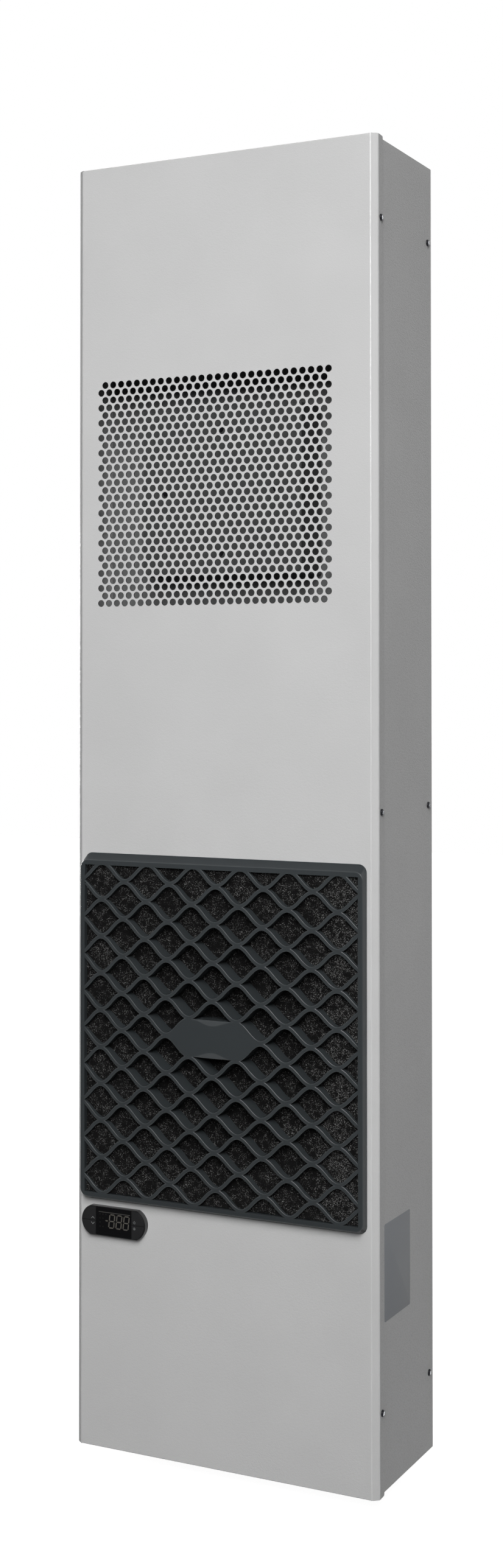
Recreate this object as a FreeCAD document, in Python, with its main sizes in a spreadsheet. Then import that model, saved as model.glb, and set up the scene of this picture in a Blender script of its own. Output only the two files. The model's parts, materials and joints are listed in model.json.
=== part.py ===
import FreeCAD, Part
import Sketcher
import math
import operator
import os

# Enclosure air conditioner that hangs on the wall or door of a cabinet.
# Millimetres, +Z up, the front looks along -Y. The origin is the middle of the
# six mounting inserts, on the outer face of the rear panel.

doc = FreeCAD.newDocument("enclosure_air_conditioner")
sheet = doc.addObject("Spreadsheet::Sheet", "sizes")
NODES = {}
OPERATIONS = {"+": operator.add, "-": operator.sub, "*": operator.mul, "/": operator.truediv}


class Size:
    """A number together with the expression that works it out from the sheet."""

    def __init__(self, number, text):
        self.number = number
        self.text = text

    def __float__(self):
        return self.number

    def __add__(self, other):
        return joined(self, "+", other)

    def __radd__(self, other):
        return joined(other, "+", self)

    def __sub__(self, other):
        return joined(self, "-", other)

    def __rsub__(self, other):
        return joined(other, "-", self)

    def __mul__(self, other):
        return joined(self, "*", other)

    def __rmul__(self, other):
        return joined(other, "*", self)

    def __truediv__(self, other):
        return joined(self, "/", other)

    def __neg__(self):
        return joined(0, "-", self)


def written(value):
    """The expression text of a size, or of a plain number."""
    return value.text if isinstance(value, Size) else f"({float(value)!r})"


def joined(left, sign, right):
    """The sum, difference, product or quotient of two sizes as a size."""
    number = OPERATIONS[sign](float(left), float(right))
    return Size(number, f"({written(left)} {sign} {written(right)})")


def size(name, number, meaning):
    """One driving dimension: its name, value and meaning in the next row of the sheet."""
    row = len(sheet.getUsedCells()) // 3 + 1
    sheet.set(f"A{row}", name)
    sheet.set(f"B{row}", str(number))
    sheet.set(f"C{row}", meaning)
    sheet.setAlias(f"B{row}", name)
    return Size(float(number), f"sizes.{name}")


# Cover, casing and rear panel
cover_width = size("cover_width", 396.2, "overall width over the returns")
cover_height = size("cover_height", 1550, "overall height")
unit_depth = size("unit_depth", 175, "cover front to rear panel face")
panel = size("panel", 1.5, "thickness of the sheet steel")
bevel_width = size("bevel_width", 8.1, "folded bevel along each long edge, across")
bevel_depth = size("bevel_depth", 6.1, "folded bevel along each long edge, deep")
return_depth = size("return_depth", 14.7, "flat return behind the bevel")
casing_setback = size("casing_setback", 8, "cover front to casing front edge")
casing_top_drop = size("casing_top_drop", 3.2, "cover top above the casing top")
casing_bottom_rise = size("casing_bottom_rise", 2.9, "casing bottom above the cover bottom")
casing_flange = size("casing_flange", 14, "inward flange round the casing front")
rear_flange = size("rear_flange", 25, "side flanges of the rear panel")

# Screws and mounting
screw_head_radius = size("screw_head_radius", 4, "pan head")
screw_head_height = size("screw_head_height", 2.4, "pan head")
screw_radius = size("screw_radius", 2, "over the corners of the shank")
screw_length = size("screw_length", 9, "shank below the head")
screw_clearance = size("screw_clearance", 0.3, "round a screw shank")
cover_screw_inset = size("cover_screw_inset", 14, "cover front to cover screws")
rear_screw_inset = size("rear_screw_inset", 12, "rear face to rear panel screws")
side_screw_rise = size("side_screw_rise", 680, "outer side screws from the middle")
insert_span = size("insert_span", 320, "mounting inserts, left to right")
insert_rise = size("insert_rise", 690, "outer mounting inserts from the middle")
insert_bore = size("insert_bore", 2.5, "radius of the threaded bore")
insert_radius = size("insert_radius", 5, "over the corners of the insert body")
insert_flange = size("insert_flange", 6.5, "radius of the insert flange")
insert_flange_height = size("insert_flange_height", 1, "insert flange on the panel")
insert_length = size("insert_length", 14, "insert body behind the panel face")
insert_clearance = size("insert_clearance", 0.05, "round an insert body")
gasket_width = size("gasket_width", 14, "foam seal on the rear panel")
gasket_thickness = size("gasket_thickness", 4, "foam seal on the rear panel")

# Perforated outlet in the cover
outlet_x = size("outlet_x", -12.75, "middle of the hole field")
outlet_z = size("outlet_z", 376.4, "middle of the hole field")
hole_radius = size("hole_radius", 4, "punched outlet hole")
hole_step = size("hole_step", 10.99, "between holes in a row")
hole_row_step = size("hole_row_step", 9.15, "between rows of holes")
HOLE_COLUMNS = 28
HOLE_ROWS = 30
HOLE_STRIDE = 4
HOLE_SIDES = 4

# Filter grille and mat
window_width = size("window_width", 344, "filter window in the cover")
window_height = size("window_height", 392, "filter window in the cover")
grille_side_lap = size("grille_side_lap", 13.6, "frame over the cover, left and right")
grille_end_lap = size("grille_end_lap", 13.25, "frame over the cover, top and bottom")
grille_z = size("grille_z", -268, "middle of the grille")
grille_rise = size("grille_rise", 11.5, "frame in front of the cover")
grille_dome = size("grille_dome", 13, "bulge of the lattice beyond the frame")
grille_slope = size("grille_slope", 7.5, "top and bottom faces of the frame lean in")
grille_rim = size("grille_rim", 6.2, "frame round the lattice")
grille_corner = size("grille_corner", 10, "radius of the frame corners")
grille_gap = size("grille_gap", 0.3, "grille to cover")
wave_step = size("wave_step", 31, "half a wave of a rib")
wave_row = size("wave_row", 22.1, "between neighbouring ribs")
wave_meet = size("wave_meet", 1.9, "centre lines of two ribs where they meet")
rib_width = size("rib_width", 4.4, "rib seen from the front")
tab_thickness = size("tab_thickness", 3, "grille tabs inside the window")
tab_width = size("tab_width", 24, "grille tabs inside the window")
tab_length = size("tab_length", 16, "grille tabs behind the frame")
tab_span = size("tab_span", 200, "grille tabs, left to right")
tab_gap = size("tab_gap", 0.4, "grille tabs to the window edge")
tab_root = size("tab_root", 8, "root of a tab in the frame")
mat_thickness = size("mat_thickness", 15, "foam filter mat")
mat_gap = size("mat_gap", 4, "filter mat to the window edge")
CREST_SHARE = 0.2

# Controller
controller_edge = size("controller_edge", 11.35, "bezel to the left side of the cover")
controller_gap = size("controller_gap", 5.35, "bezel below the grille")
controller_width = size("controller_width", 92, "bezel over its round ends")
controller_height = size("controller_height", 37, "bezel")
controller_end = size("controller_end", 19.7, "radius of the round ends")
controller_rise = size("controller_rise", 8, "bezel in front of the cover")
cutout_width = size("cutout_width", 71, "panel cut-out")
cutout_height = size("cutout_height", 29, "panel cut-out")
cutout_clearance = size("cutout_clearance", 0.2, "controller body in the cut-out")
controller_depth = size("controller_depth", 58, "controller body behind the cover front")
controller_wall = size("controller_wall", 2, "controller body wall")
display_width = size("display_width", 49, "display window")
display_height = size("display_height", 31, "display window")
display_thickness = size("display_thickness", 1.2, "display window")
button_rim = size("button_rim", 0.8, "bezel left round the buttons")
button_split = size("button_split", 1.6, "web between two buttons")
button_thickness = size("button_thickness", 4, "button, front to back")
button_rise = size("button_rise", 0.8, "button in front of the bezel")
button_travel = size("button_travel", 0.8, "press of a button")
button_clearance = size("button_clearance", 0.25, "round a button")
board_thickness = size("board_thickness", 1.6, "controller circuit board")
clip_width = size("clip_width", 4, "controller side clips")
clip_length = size("clip_length", 24, "controller side clips")

# Fans
inlet_radius = size("inlet_radius", 62, "clear radius of a fan inlet")
inlet_lip = size("inlet_lip", 16, "flat lip of the inlet ring")
inlet_depth = size("inlet_depth", 10, "inlet ring")
impeller_radius = size("impeller_radius", 88, "fan impeller")
impeller_gap = size("impeller_gap", 3, "inlet ring to impeller")
impeller_depth = size("impeller_depth", 33, "shroud to back plate")
impeller_plate = size("impeller_plate", 2, "shroud, blades and back plate")
blade_inner = size("blade_inner", 52, "blade root from the axis")
blade_inset = size("blade_inset", 8, "blade tip inside the rim")
blade_sweep = size("blade_sweep", 26, "blade tip behind its root")
hub_radius = size("hub_radius", 20, "impeller hub")
shaft_radius = size("shaft_radius", 6, "fan shaft")
shaft_clearance = size("shaft_clearance", 0.05, "shaft in the hub")
motor_radius = size("motor_radius", 46, "fan motor")
motor_length = size("motor_length", 4, "fan motor in front of its flange")
motor_flange = size("motor_flange", 83, "radius of the motor flange")
motor_flange_thickness = size("motor_flange_thickness", 3, "motor flange")
motor_screw_reach = size("motor_screw_reach", 74, "motor screws from the axis")
motor_screw_length = size("motor_screw_length", 6, "shank below the head")
fan_depth = size("fan_depth", 56, "inlet plate to bracket plate")
bracket_width = size("bracket_width", 212, "fan bracket over its legs")
bracket_height = size("bracket_height", 200, "fan bracket")
outlet_gap = size("outlet_gap", 22, "cover sheet to fan bracket")
evaporator_fan_z = size("evaporator_fan_z", 650, "axis of the evaporator fan")
guard_thickness = size("guard_thickness", 2, "rear guards")
guard_frame = size("guard_frame", 8, "border of the rear guards")
guard_bar = size("guard_bar", 2.5, "bars of the rear guards")
rear_outlet_width = size("rear_outlet_width", 290, "cold air opening in the rear panel")
rear_outlet_height = size("rear_outlet_height", 140, "cold air opening in the rear panel")
rear_outlet_z = size("rear_outlet_z", 5, "middle of the cold air opening")
GUARD_SLOTS = 9
BLADES = 9

# How many flat sides stand for a round one, where roundness is not needed
SCREW_SIDES = 6
PIPE_SIDES = 6
ROUND_SIDES = 16

# Partition and refrigeration circuit
deck_z = size("deck_z", 530, "floor of the evaporator fan room")
shelf_z = size("shelf_z", 228, "floor of the condenser fan room")
low_deck_z = size("low_deck_z", -90, "floor of the evaporator duct")
duct_depth = size("duct_depth", 60.5, "evaporator duct in front of the rear face")
coil_width = size("coil_width", 340, "fin blocks")
condenser_trim = size("condenser_trim", 6, "window edge to fin block, top and bottom")
condenser_depth = size("condenser_depth", 44, "condenser fin block")
condenser_gap = size("condenser_gap", 10, "casing flange to condenser")
evaporator_height = size("evaporator_height", 340, "evaporator fin block")
evaporator_depth = size("evaporator_depth", 28, "evaporator fin block")
evaporator_gap = size("evaporator_gap", 10.5, "partition to evaporator")
evaporator_z = size("evaporator_z", 300, "middle of the evaporator")
tray_height = size("tray_height", 26, "drip tray")
tray_drop = size("tray_drop", 4, "evaporator above the drip tray")
tray_width = size("tray_width", 330, "drip tray")
tray_depth = size("tray_depth", 48, "drip tray")
drain_x = size("drain_x", -150, "drain pipe")
drain_y = size("drain_y", -36, "drain pipe")
drain_radius = size("drain_radius", 7, "drain pipe")
drain_bore = size("drain_bore", 5, "drain pipe")
spout_radius = size("spout_radius", 8, "hose spout below the casing")
spout_gap = size("spout_gap", 1, "spout to the casing bottom")
drain_drop = size("drain_drop", 16, "drain pipe below the cover bottom")
compressor_x = size("compressor_x", 75, "compressor axis")
compressor_y = size("compressor_y", -88, "compressor axis")
compressor_radius = size("compressor_radius", 56, "compressor can")
compressor_height = size("compressor_height", 200, "compressor can")
compressor_foot = size("compressor_foot", 70, "radius of the foot plate")
compressor_foot_thickness = size("compressor_foot_thickness", 4, "foot plate")
compressor_shoulder = size("compressor_shoulder", 16, "domed ends of the can")
grommet_radius = size("grommet_radius", 10, "rubber feet")
grommet_height = size("grommet_height", 16, "rubber feet")
grommet_reach = size("grommet_reach", 58, "rubber feet from the axis")
base_thickness = size("base_thickness", 2, "compressor base plate")
base_width = size("base_width", 160, "compressor base plate")
accumulator_radius = size("accumulator_radius", 25, "suction accumulator")
accumulator_height = size("accumulator_height", 130, "suction accumulator")
accumulator_rise = size("accumulator_rise", 30, "accumulator above the foot plate")
accumulator_gap = size("accumulator_gap", 3, "accumulator to compressor")
strap_width = size("strap_width", 16, "bracket between the two cans")
pipe_radius = size("pipe_radius", 5, "discharge and suction lines")
liquid_radius = size("liquid_radius", 3, "liquid line")
capillary_radius = size("capillary_radius", 1.5, "capillary tube")
bend_radius = size("bend_radius", 10, "pipe bends")
pipe_clearance = size("pipe_clearance", 0.3, "pipes through the partition")
pipe_wall_gap = size("pipe_wall_gap", 12, "risers to the casing wall")
discharge_rise = size("discharge_rise", 45, "discharge line above the compressor")
suction_rise = size("suction_rise", 34, "suction line above the accumulator")
drier_radius = size("drier_radius", 9, "filter drier")
drier_length = size("drier_length", 100, "filter drier")
drier_drop = size("drier_drop", 150, "drier below the liquid outlet")
return_bend_radius = size("return_bend_radius", 12.5, "coil return bends")
return_tube_radius = size("return_tube_radius", 4.5, "coil tubes")
return_stub = size("return_stub", 3, "straight ends of the return bends")
RETURN_BENDS = 4
BEND_STEPS = 2

# Electrical compartment
box_width = size("box_width", 120, "electrical box")
box_depth = size("box_depth", 88, "electrical box")
box_height = size("box_height", 190, "electrical box")
box_gap = size("box_gap", 5, "electrical box to the casing wall")
box_rear_gap = size("box_rear_gap", 60, "rear panel to electrical box")
terminal_width = size("terminal_width", 90, "terminal block")
terminal_height = size("terminal_height", 30, "terminal block")
terminal_depth = size("terminal_depth", 25, "terminal block")
terminal_rise = size("terminal_rise", 120, "terminal block above the box floor")
capacitor_radius = size("capacitor_radius", 18, "run capacitor")
capacitor_height = size("capacitor_height", 75, "run capacitor")
connector_width = size("connector_width", 56, "supply connector")
connector_height = size("connector_height", 30, "supply connector")
connector_depth = size("connector_depth", 30, "supply connector")
connector_flange = size("connector_flange", 5, "supply connector border")
connector_x = size("connector_x", -100, "supply connector")
connector_z = size("connector_z", -690, "supply connector")

# Planes and edges that several pieces share
front = -unit_depth
cover_back = front + panel
half = cover_width / 2
flat_half = half - bevel_width
cover_top = cover_height / 2
bevel_y = front + bevel_depth
return_y = bevel_y + return_depth
casing_half = half - panel
inner_half = casing_half - panel
inside_half = inner_half - panel
casing_front = front + casing_setback
flange_back = casing_front + panel
casing_top = cover_top - casing_top_drop
casing_bottom = casing_bottom_rise - cover_top
ceiling = casing_top - panel
floor = casing_bottom + panel
cover_screw_y = front + cover_screw_inset
grille_width = window_width + 2 * grille_side_lap
grille_height = window_height + 2 * grille_end_lap
controller_x = controller_edge + controller_width / 2 - half
controller_z = grille_z - grille_height / 2 - controller_gap - controller_height / 2
condenser_height = window_height - 2 * condenser_trim
coil_half = coil_width / 2
coil_side = coil_half + panel
partition_y = -duct_depth - panel
condenser_face = cover_back + outlet_gap + panel + fan_depth
condenser_front = flange_back + condenser_gap
condenser_back = condenser_front + condenser_depth
condenser_low = grille_z - condenser_height / 2
condenser_high = grille_z + condenser_height / 2
evaporator_front = partition_y + panel + evaporator_gap
evaporator_back = evaporator_front + evaporator_depth
evaporator_low = evaporator_z - evaporator_height / 2
evaporator_high = evaporator_z + evaporator_height / 2
compressor_low = floor + base_thickness + grommet_height
compressor_top = compressor_low + compressor_height
riser_x = inner_half - pipe_wall_gap
capillary_y = evaporator_front + return_tube_radius
suction_y = evaporator_back - pipe_radius - pipe_clearance
suction_z = evaporator_low + 3 * return_bend_radius
capillary_z = suction_z + 3 * return_bend_radius

TURNS = {
    "z": FreeCAD.Rotation(),
    "y": FreeCAD.Rotation(FreeCAD.Vector(1, 0, 0), -90),
    "x": FreeCAD.Rotation(FreeCAD.Vector(0, 1, 0), 90),
}
FORWARD = FreeCAD.Rotation(FreeCAD.Vector(1, 0, 0), 90)
PUNCH = 1.0


def bind(item, name, value):
    """Tie one property of an object to the sheet."""
    item.setExpression(name, written(value))


def put(item, place, turn=FreeCAD.Rotation()):
    """Turn an object, then tie its place to the sheet."""
    item.Placement = FreeCAD.Placement(FreeCAD.Vector(), turn)
    for axis, value in zip("xyz", place):
        bind(item, f"Placement.Base.{axis}", value)
    return item


def box(name, low, high):
    """A block between two corners."""
    item = doc.addObject("Part::Box", name)
    for side, start, end in zip(("Length", "Width", "Height"), low, high):
        bind(item, side, end - start)
    return put(item, low)


def cylinder(name, radius, start, length, axis="z"):
    """A round bar from a start point along an axis."""
    item = doc.addObject("Part::Cylinder", name)
    bind(item, "Radius", radius)
    bind(item, "Height", length)
    return put(item, start, TURNS[axis])


def bar(name, sides, radius, start, length, axis="z"):
    """A bar with flat sides from a start point along an axis."""
    item = doc.addObject("Part::Prism", name)
    item.Polygon = sides
    bind(item, "Circumradius", radius)
    bind(item, "Height", length)
    return put(item, start, TURNS[axis])


def grouped(name, parts):
    """Several solids as one group."""
    item = doc.addObject("Part::Compound", name)
    item.Links = list(parts)
    return item


def fused(name, *parts):
    """Several solids grown together."""
    item = doc.addObject("Part::MultiFuse", name)
    item.Shapes = list(parts)
    item.Refine = True
    return item


def common(name, *parts):
    """What several solids have in common."""
    item = doc.addObject("Part::MultiCommon", name)
    item.Shapes = list(parts)
    item.Refine = True
    return item


def cut(name, base, *tools):
    """A solid less the tools."""
    item = doc.addObject("Part::Cut", name)
    item.Base = base
    item.Tool = tools[0] if len(tools) == 1 else grouped(f"{name}_tools", tools)
    item.Refine = True
    return item


def shaped(name, shape):
    """An object whose shape is worked out in code from the sheet's sizes."""
    item = doc.addObject("Part::Feature", name)
    item.Shape = shape
    return item


def keep(item, label):
    """Name a finished piece."""
    item.Label = label
    NODES[label] = item
    return item


def sketch(owner, role, offset=0):
    """An empty sketch on one of a body's own planes, moved along its normal."""
    plane = next(each for each in owner.Origin.OriginFeatures if each.Role == role)
    item = owner.newObject("Sketcher::SketchObject", f"{owner.Name}_sketch")
    item.AttachmentSupport = [(plane, "")]
    item.MapMode = "FlatFace"
    bind(item, "AttachmentOffset.Base.z", offset)
    return item


def pin(item, kind, geometry, point, value):
    """Hold one coordinate of a point at a distance from the sketch's origin."""
    rule = Sketcher.Constraint(kind, -1, 1, geometry, point, float(value))
    index = item.addConstraint(rule)
    item.setExpression(f"Constraints[{index}]", written(value))


def polygon(item, points):
    """A closed outline of straight lines with every corner dimensioned."""
    first = item.GeometryCount
    count = len(points)
    corners = [FreeCAD.Vector(float(x), float(y), 0) for x, y in points]
    for k in range(count):
        item.addGeometry(Part.LineSegment(corners[k], corners[(k + 1) % count]), False)
    for k in range(count):
        item.addConstraint(Sketcher.Constraint("Coincident", first + k, 2, first + (k + 1) % count, 1))
    for k, (x, y) in enumerate(points):
        pin(item, "DistanceX", first + k, 1, x)
        pin(item, "DistanceY", first + k, 1, y)
    return item


def rectangle(item, low, high):
    """A rectangle between two corners."""
    return polygon(item, [low, (high[0], low[1]), high, (low[0], high[1])])


def ring_points(radius):
    """Corners of a many sided outline about the origin."""
    angles = [2 * math.pi * k / ROUND_SIDES for k in range(ROUND_SIDES)]
    return [(radius * math.cos(angle), radius * math.sin(angle)) for angle in angles]


def circle(item, radius):
    """A circle about the sketch's origin."""
    index = item.addGeometry(Part.Circle(FreeCAD.Vector(), FreeCAD.Vector(0, 0, 1), float(radius)), False)
    item.addConstraint(Sketcher.Constraint("Coincident", index, 3, -1, 1))
    rule = item.addConstraint(Sketcher.Constraint("Radius", index, float(radius)))
    item.setExpression(f"Constraints[{rule}]", written(radius))
    return item


def pad(owner, drawing, length):
    """Grow a sketch along its normal."""
    item = owner.newObject("PartDesign::Pad", f"{owner.Name}_pad")
    item.Profile = drawing
    bind(item, "Length", length)
    drawing.Visibility = False
    return item


def bent_along(name, points, low, high):
    """A bent sheet with one cross section all the way up, drawn from above."""
    owner = doc.addObject("PartDesign::Body", name)
    pad(owner, polygon(sketch(owner, "XY_Plane", low), points), high - low)
    return owner


def bent_across(name, points, low, high):
    """A bent sheet with one cross section all the way across, drawn from the side."""
    owner = doc.addObject("PartDesign::Body", name)
    pad(owner, polygon(sketch(owner, "YZ_Plane", low), points), high - low)
    return owner


def side_drills(name, radius, y, reach):
    """Three bars right across the unit, one at each screw height."""
    return [
        bar(f"{name}_{k}", SCREW_SIDES, radius, (-reach, y, height), reach + reach, "x")
        for k, height in enumerate((-side_screw_rise, Size(0.0, "0"), side_screw_rise))
    ]


def side_screws(label, face, y):
    """Six pan head screws through the side walls, heads on the given face."""
    screws = []
    for k, height in enumerate((-side_screw_rise, 0, side_screw_rise)):
        for side, head_start, shank_start in (
            ("left", -face - screw_head_height, -face),
            ("right", face, face - screw_length),
        ):
            name = f"{label}_{side}_{k}"
            start = (head_start, y, height)
            head = bar(f"{name}_head", SCREW_SIDES, screw_head_radius, start, screw_head_height, "x")
            start = (shank_start, y, height)
            shank = bar(f"{name}_shank", SCREW_SIDES, screw_radius, start, screw_length, "x")
            screws.append(fused(name, head, shank))
    return keep(grouped(label, screws), label)


def front_cover():
    """The bent front: bevels and returns on the long edges, short returns at the ends."""
    fold = panel / 3
    tuck = panel / 2
    outer = [
        (-half, return_y),
        (-half, bevel_y),
        (-flat_half, front),
        (flat_half, front),
        (half, bevel_y),
        (half, return_y),
    ]
    inner = [
        (casing_half, return_y),
        (casing_half, bevel_y + tuck),
        (flat_half - fold, cover_back),
        (fold - flat_half, cover_back),
        (-casing_half, bevel_y + tuck),
        (-casing_half, return_y),
    ]
    shell = bent_along("cover_sheet", outer + inner, -cover_top, cover_top)
    reach = flat_half - fold
    ends = [
        box("cover_top_return", (-reach, front, cover_top - panel), (reach, return_y, cover_top)),
        box("cover_foot_return", (-reach, front, -cover_top), (reach, return_y, panel - cover_top)),
    ]
    window = box(
        "cover_window",
        (-window_width / 2, front - PUNCH, grille_z - window_height / 2),
        (window_width / 2, cover_back + PUNCH, grille_z + window_height / 2),
    )
    cutout = box(
        "cover_cutout",
        (controller_x - cutout_width / 2, front - PUNCH, controller_z - cutout_height / 2),
        (controller_x + cutout_width / 2, cover_back + PUNCH, controller_z + cutout_height / 2),
    )
    drills = side_drills("cover_drill", screw_radius + screw_clearance, cover_screw_y, half + PUNCH)
    solid = fused("cover_solid", shell, *ends)
    return keep(cut("front_cover", solid, window, cutout, outlet_punches(), *drills), "front_cover")


def outlet_punches():
    """Punches of the staggered outlet field. Every HOLE_STRIDE-th hole is punched in the solid."""
    radius = float(hole_radius)
    step = float(hole_step)
    row_step = float(hole_row_step)
    y = float(front) - PUNCH
    punches = []
    for count, row in enumerate(range(0, HOLE_ROWS, HOLE_STRIDE)):
        z = float(outlet_z) + row_step * ((HOLE_ROWS - 1) / 2 - row)
        shift = step / 4 if row % 2 == 0 else -step / 4
        for column in range(count % 2 * round(HOLE_STRIDE / 2), HOLE_COLUMNS, HOLE_STRIDE):
            x = float(outlet_x) + shift + step * (column - (HOLE_COLUMNS - 1) / 2)
            corners = [
                FreeCAD.Vector(x + radius * math.cos(angle), y, z + radius * math.sin(angle))
                for angle in (2 * math.pi * k / HOLE_SIDES for k in range(HOLE_SIDES + 1))
            ]
            corners[-1] = corners[0]
            face = Part.Face(Part.makePolygon(corners))
            punches.append(face.extrude(FreeCAD.Vector(0, float(panel) + 2 * PUNCH, 0)))
    return shaped("outlet_punches", Part.makeCompound(punches))


def casing_wrap():
    """Four side walls in one ring."""
    owner = doc.addObject("PartDesign::Body", "casing_ring")
    walls = sketch(owner, "XZ_Plane")
    rectangle(walls, (-casing_half, casing_bottom), (casing_half, casing_top))
    rectangle(walls, (-inner_half, floor), (inner_half, ceiling))
    pad(owner, walls, unit_depth - casing_setback)
    reach = half + PUNCH
    drills = side_drills("casing_front_drill", screw_radius + screw_clearance, cover_screw_y, reach)
    drills += side_drills("casing_rear_drill", screw_radius + screw_clearance, -rear_screw_inset, reach)
    start = (drain_x, drain_y, casing_bottom - PUNCH)
    drain = cylinder("casing_drain_drill", drain_radius + pipe_clearance, start, panel + 2 * PUNCH)
    return keep(cut("casing_wrap", owner, drain, *drills), "casing_wrap")


def casing_frame():
    """Flat frame inside the front edge of the casing, which carries the condenser and the shelf."""
    owner = doc.addObject("PartDesign::Body", "casing_frame")
    drawing = sketch(owner, "XZ_Plane", -flange_back)
    reach = casing_half - casing_flange
    rectangle(drawing, (-inner_half, floor), (inner_half, ceiling))
    rectangle(drawing, (-reach, casing_bottom + casing_flange), (reach, casing_top - casing_flange))
    pad(owner, drawing, panel)
    return keep(owner, "casing_frame")


def insert_places():
    """The six mounting inserts: two columns of three."""
    return [
        (x, z)
        for x in (-insert_span / 2, insert_span / 2)
        for z in (-insert_rise, 0 * insert_rise, insert_rise)
    ]


def rear_panel():
    """The rear sheet with its side flanges, air openings, insert holes and connector hole."""
    points = [
        (-inner_half, -rear_flange),
        (-inner_half, 0),
        (inner_half, 0),
        (inner_half, -rear_flange),
        (inside_half, -rear_flange),
        (inside_half, -panel),
        (-inside_half, -panel),
        (-inside_half, -rear_flange),
    ]
    owner = bent_along("rear_sheet", points, floor, ceiling)
    through = panel + 2 * PUNCH
    start = -panel - PUNCH
    inlet = bar("rear_inlet", ROUND_SIDES, inlet_radius, (0, start, evaporator_fan_z), through, "y")
    outlet = box(
        "rear_outlet",
        (-rear_outlet_width / 2, start, rear_outlet_z - rear_outlet_height / 2),
        (rear_outlet_width / 2, start + through, rear_outlet_z + rear_outlet_height / 2),
    )
    socket = box(
        "rear_socket",
        (connector_x - connector_width / 2, start, connector_z - connector_height / 2),
        (connector_x + connector_width / 2, start + through, connector_z + connector_height / 2),
    )
    inserts = [
        bar(f"rear_insert_{k}", SCREW_SIDES, insert_radius + insert_clearance, (x, start, z), through, "y")
        for k, (x, z) in enumerate(insert_places())
    ]
    drills = side_drills("rear_drill", screw_radius + screw_clearance, -rear_screw_inset, half + PUNCH)
    return keep(cut("rear_panel", owner, inlet, outlet, socket, *inserts, *drills), "rear_panel")


def mounting_inserts():
    """Threaded rivet inserts: a flange on the panel, a six sided body and a bore."""
    inserts = []
    for k, (x, z) in enumerate(insert_places()):
        flange = bar(f"insert_{k}_flange", SCREW_SIDES, insert_flange, (x, 0, z), insert_flange_height, "y")
        body = bar(f"insert_{k}_body", SCREW_SIDES, insert_radius, (x, -insert_length, z), insert_length, "y")
        bore = cylinder(
            f"insert_{k}_bore", insert_bore, (x, -insert_length, z), insert_length + insert_flange_height, "y"
        )
        inserts.append(cut(f"insert_{k}", fused(f"insert_{k}_solid", flange, body), bore))
    return keep(grouped("mounting_inserts", inserts), "mounting_inserts")


def mounting_gasket():
    """Foam seal round the edge of the rear panel."""
    owner = doc.addObject("PartDesign::Body", "mounting_gasket")
    ring = sketch(owner, "XZ_Plane", -gasket_thickness)
    reach = inner_half - gasket_width
    rectangle(ring, (-inner_half, floor), (inner_half, ceiling))
    rectangle(ring, (-reach, floor + gasket_width), (reach, ceiling - gasket_width))
    pad(owner, ring, gasket_thickness)
    return keep(owner, "mounting_gasket")


def rear_guard(label, z, width, height):
    """A flat guard of upright bars on the rear panel."""
    owner = doc.addObject("PartDesign::Body", label)
    drawing = sketch(owner, "XZ_Plane", -guard_thickness)
    rectangle(
        drawing,
        (-width / 2 - guard_frame, z - height / 2 - guard_frame),
        (width / 2 + guard_frame, z + height / 2 + guard_frame),
    )
    slot = (width - (GUARD_SLOTS - 1) * guard_bar) / GUARD_SLOTS
    for k in range(GUARD_SLOTS):
        start = k * (slot + guard_bar) - width / 2
        rectangle(drawing, (start, z - height / 2), (start + slot, z + height / 2))
    pad(owner, drawing, guard_thickness)
    return keep(owner, label)


def partition_plate():
    """Stepped sheet between the ambient air in front and the cabinet air behind."""
    points = [
        (-panel, low_deck_z),
        (-panel, low_deck_z + panel),
        (partition_y + panel, low_deck_z + panel),
        (partition_y + panel, deck_z + panel),
        (flange_back, deck_z + panel),
        (flange_back, deck_z),
        (partition_y, deck_z),
        (partition_y, low_deck_z),
    ]
    owner = bent_across("partition_sheet", points, -inside_half, inside_half)
    start = low_deck_z - PUNCH
    through = panel + 2 * PUNCH
    spread = 1 / math.cos(math.pi / PIPE_SIDES)
    holes = [
        bar(f"partition_{name}", PIPE_SIDES, (radius + pipe_clearance) * spread, (x, y, start), through)
        for name, radius, x, y in (
            ("suction", pipe_radius, riser_x, suction_y),
            ("capillary", capillary_radius, riser_x, capillary_y),
            ("drain", drain_radius, drain_x, drain_y),
        )
    ]
    return keep(cut("partition_plate", owner, *holes), "partition_plate")


def condenser_shelf():
    """Floor and inlet wall of the condenser fan room."""
    points = [
        (flange_back, shelf_z - panel),
        (condenser_face + panel, shelf_z - panel),
        (condenser_face + panel, deck_z),
        (condenser_face, deck_z),
        (condenser_face, shelf_z),
        (flange_back, shelf_z),
    ]
    owner = bent_across("shelf_sheet", points, -inner_half, inner_half)
    start = (outlet_x, condenser_face - PUNCH, outlet_z)
    inlet = bar("shelf_inlet", ROUND_SIDES, inlet_radius, start, panel + 2 * PUNCH, "y")
    return keep(cut("condenser_shelf", owner, inlet), "condenser_shelf")


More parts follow.
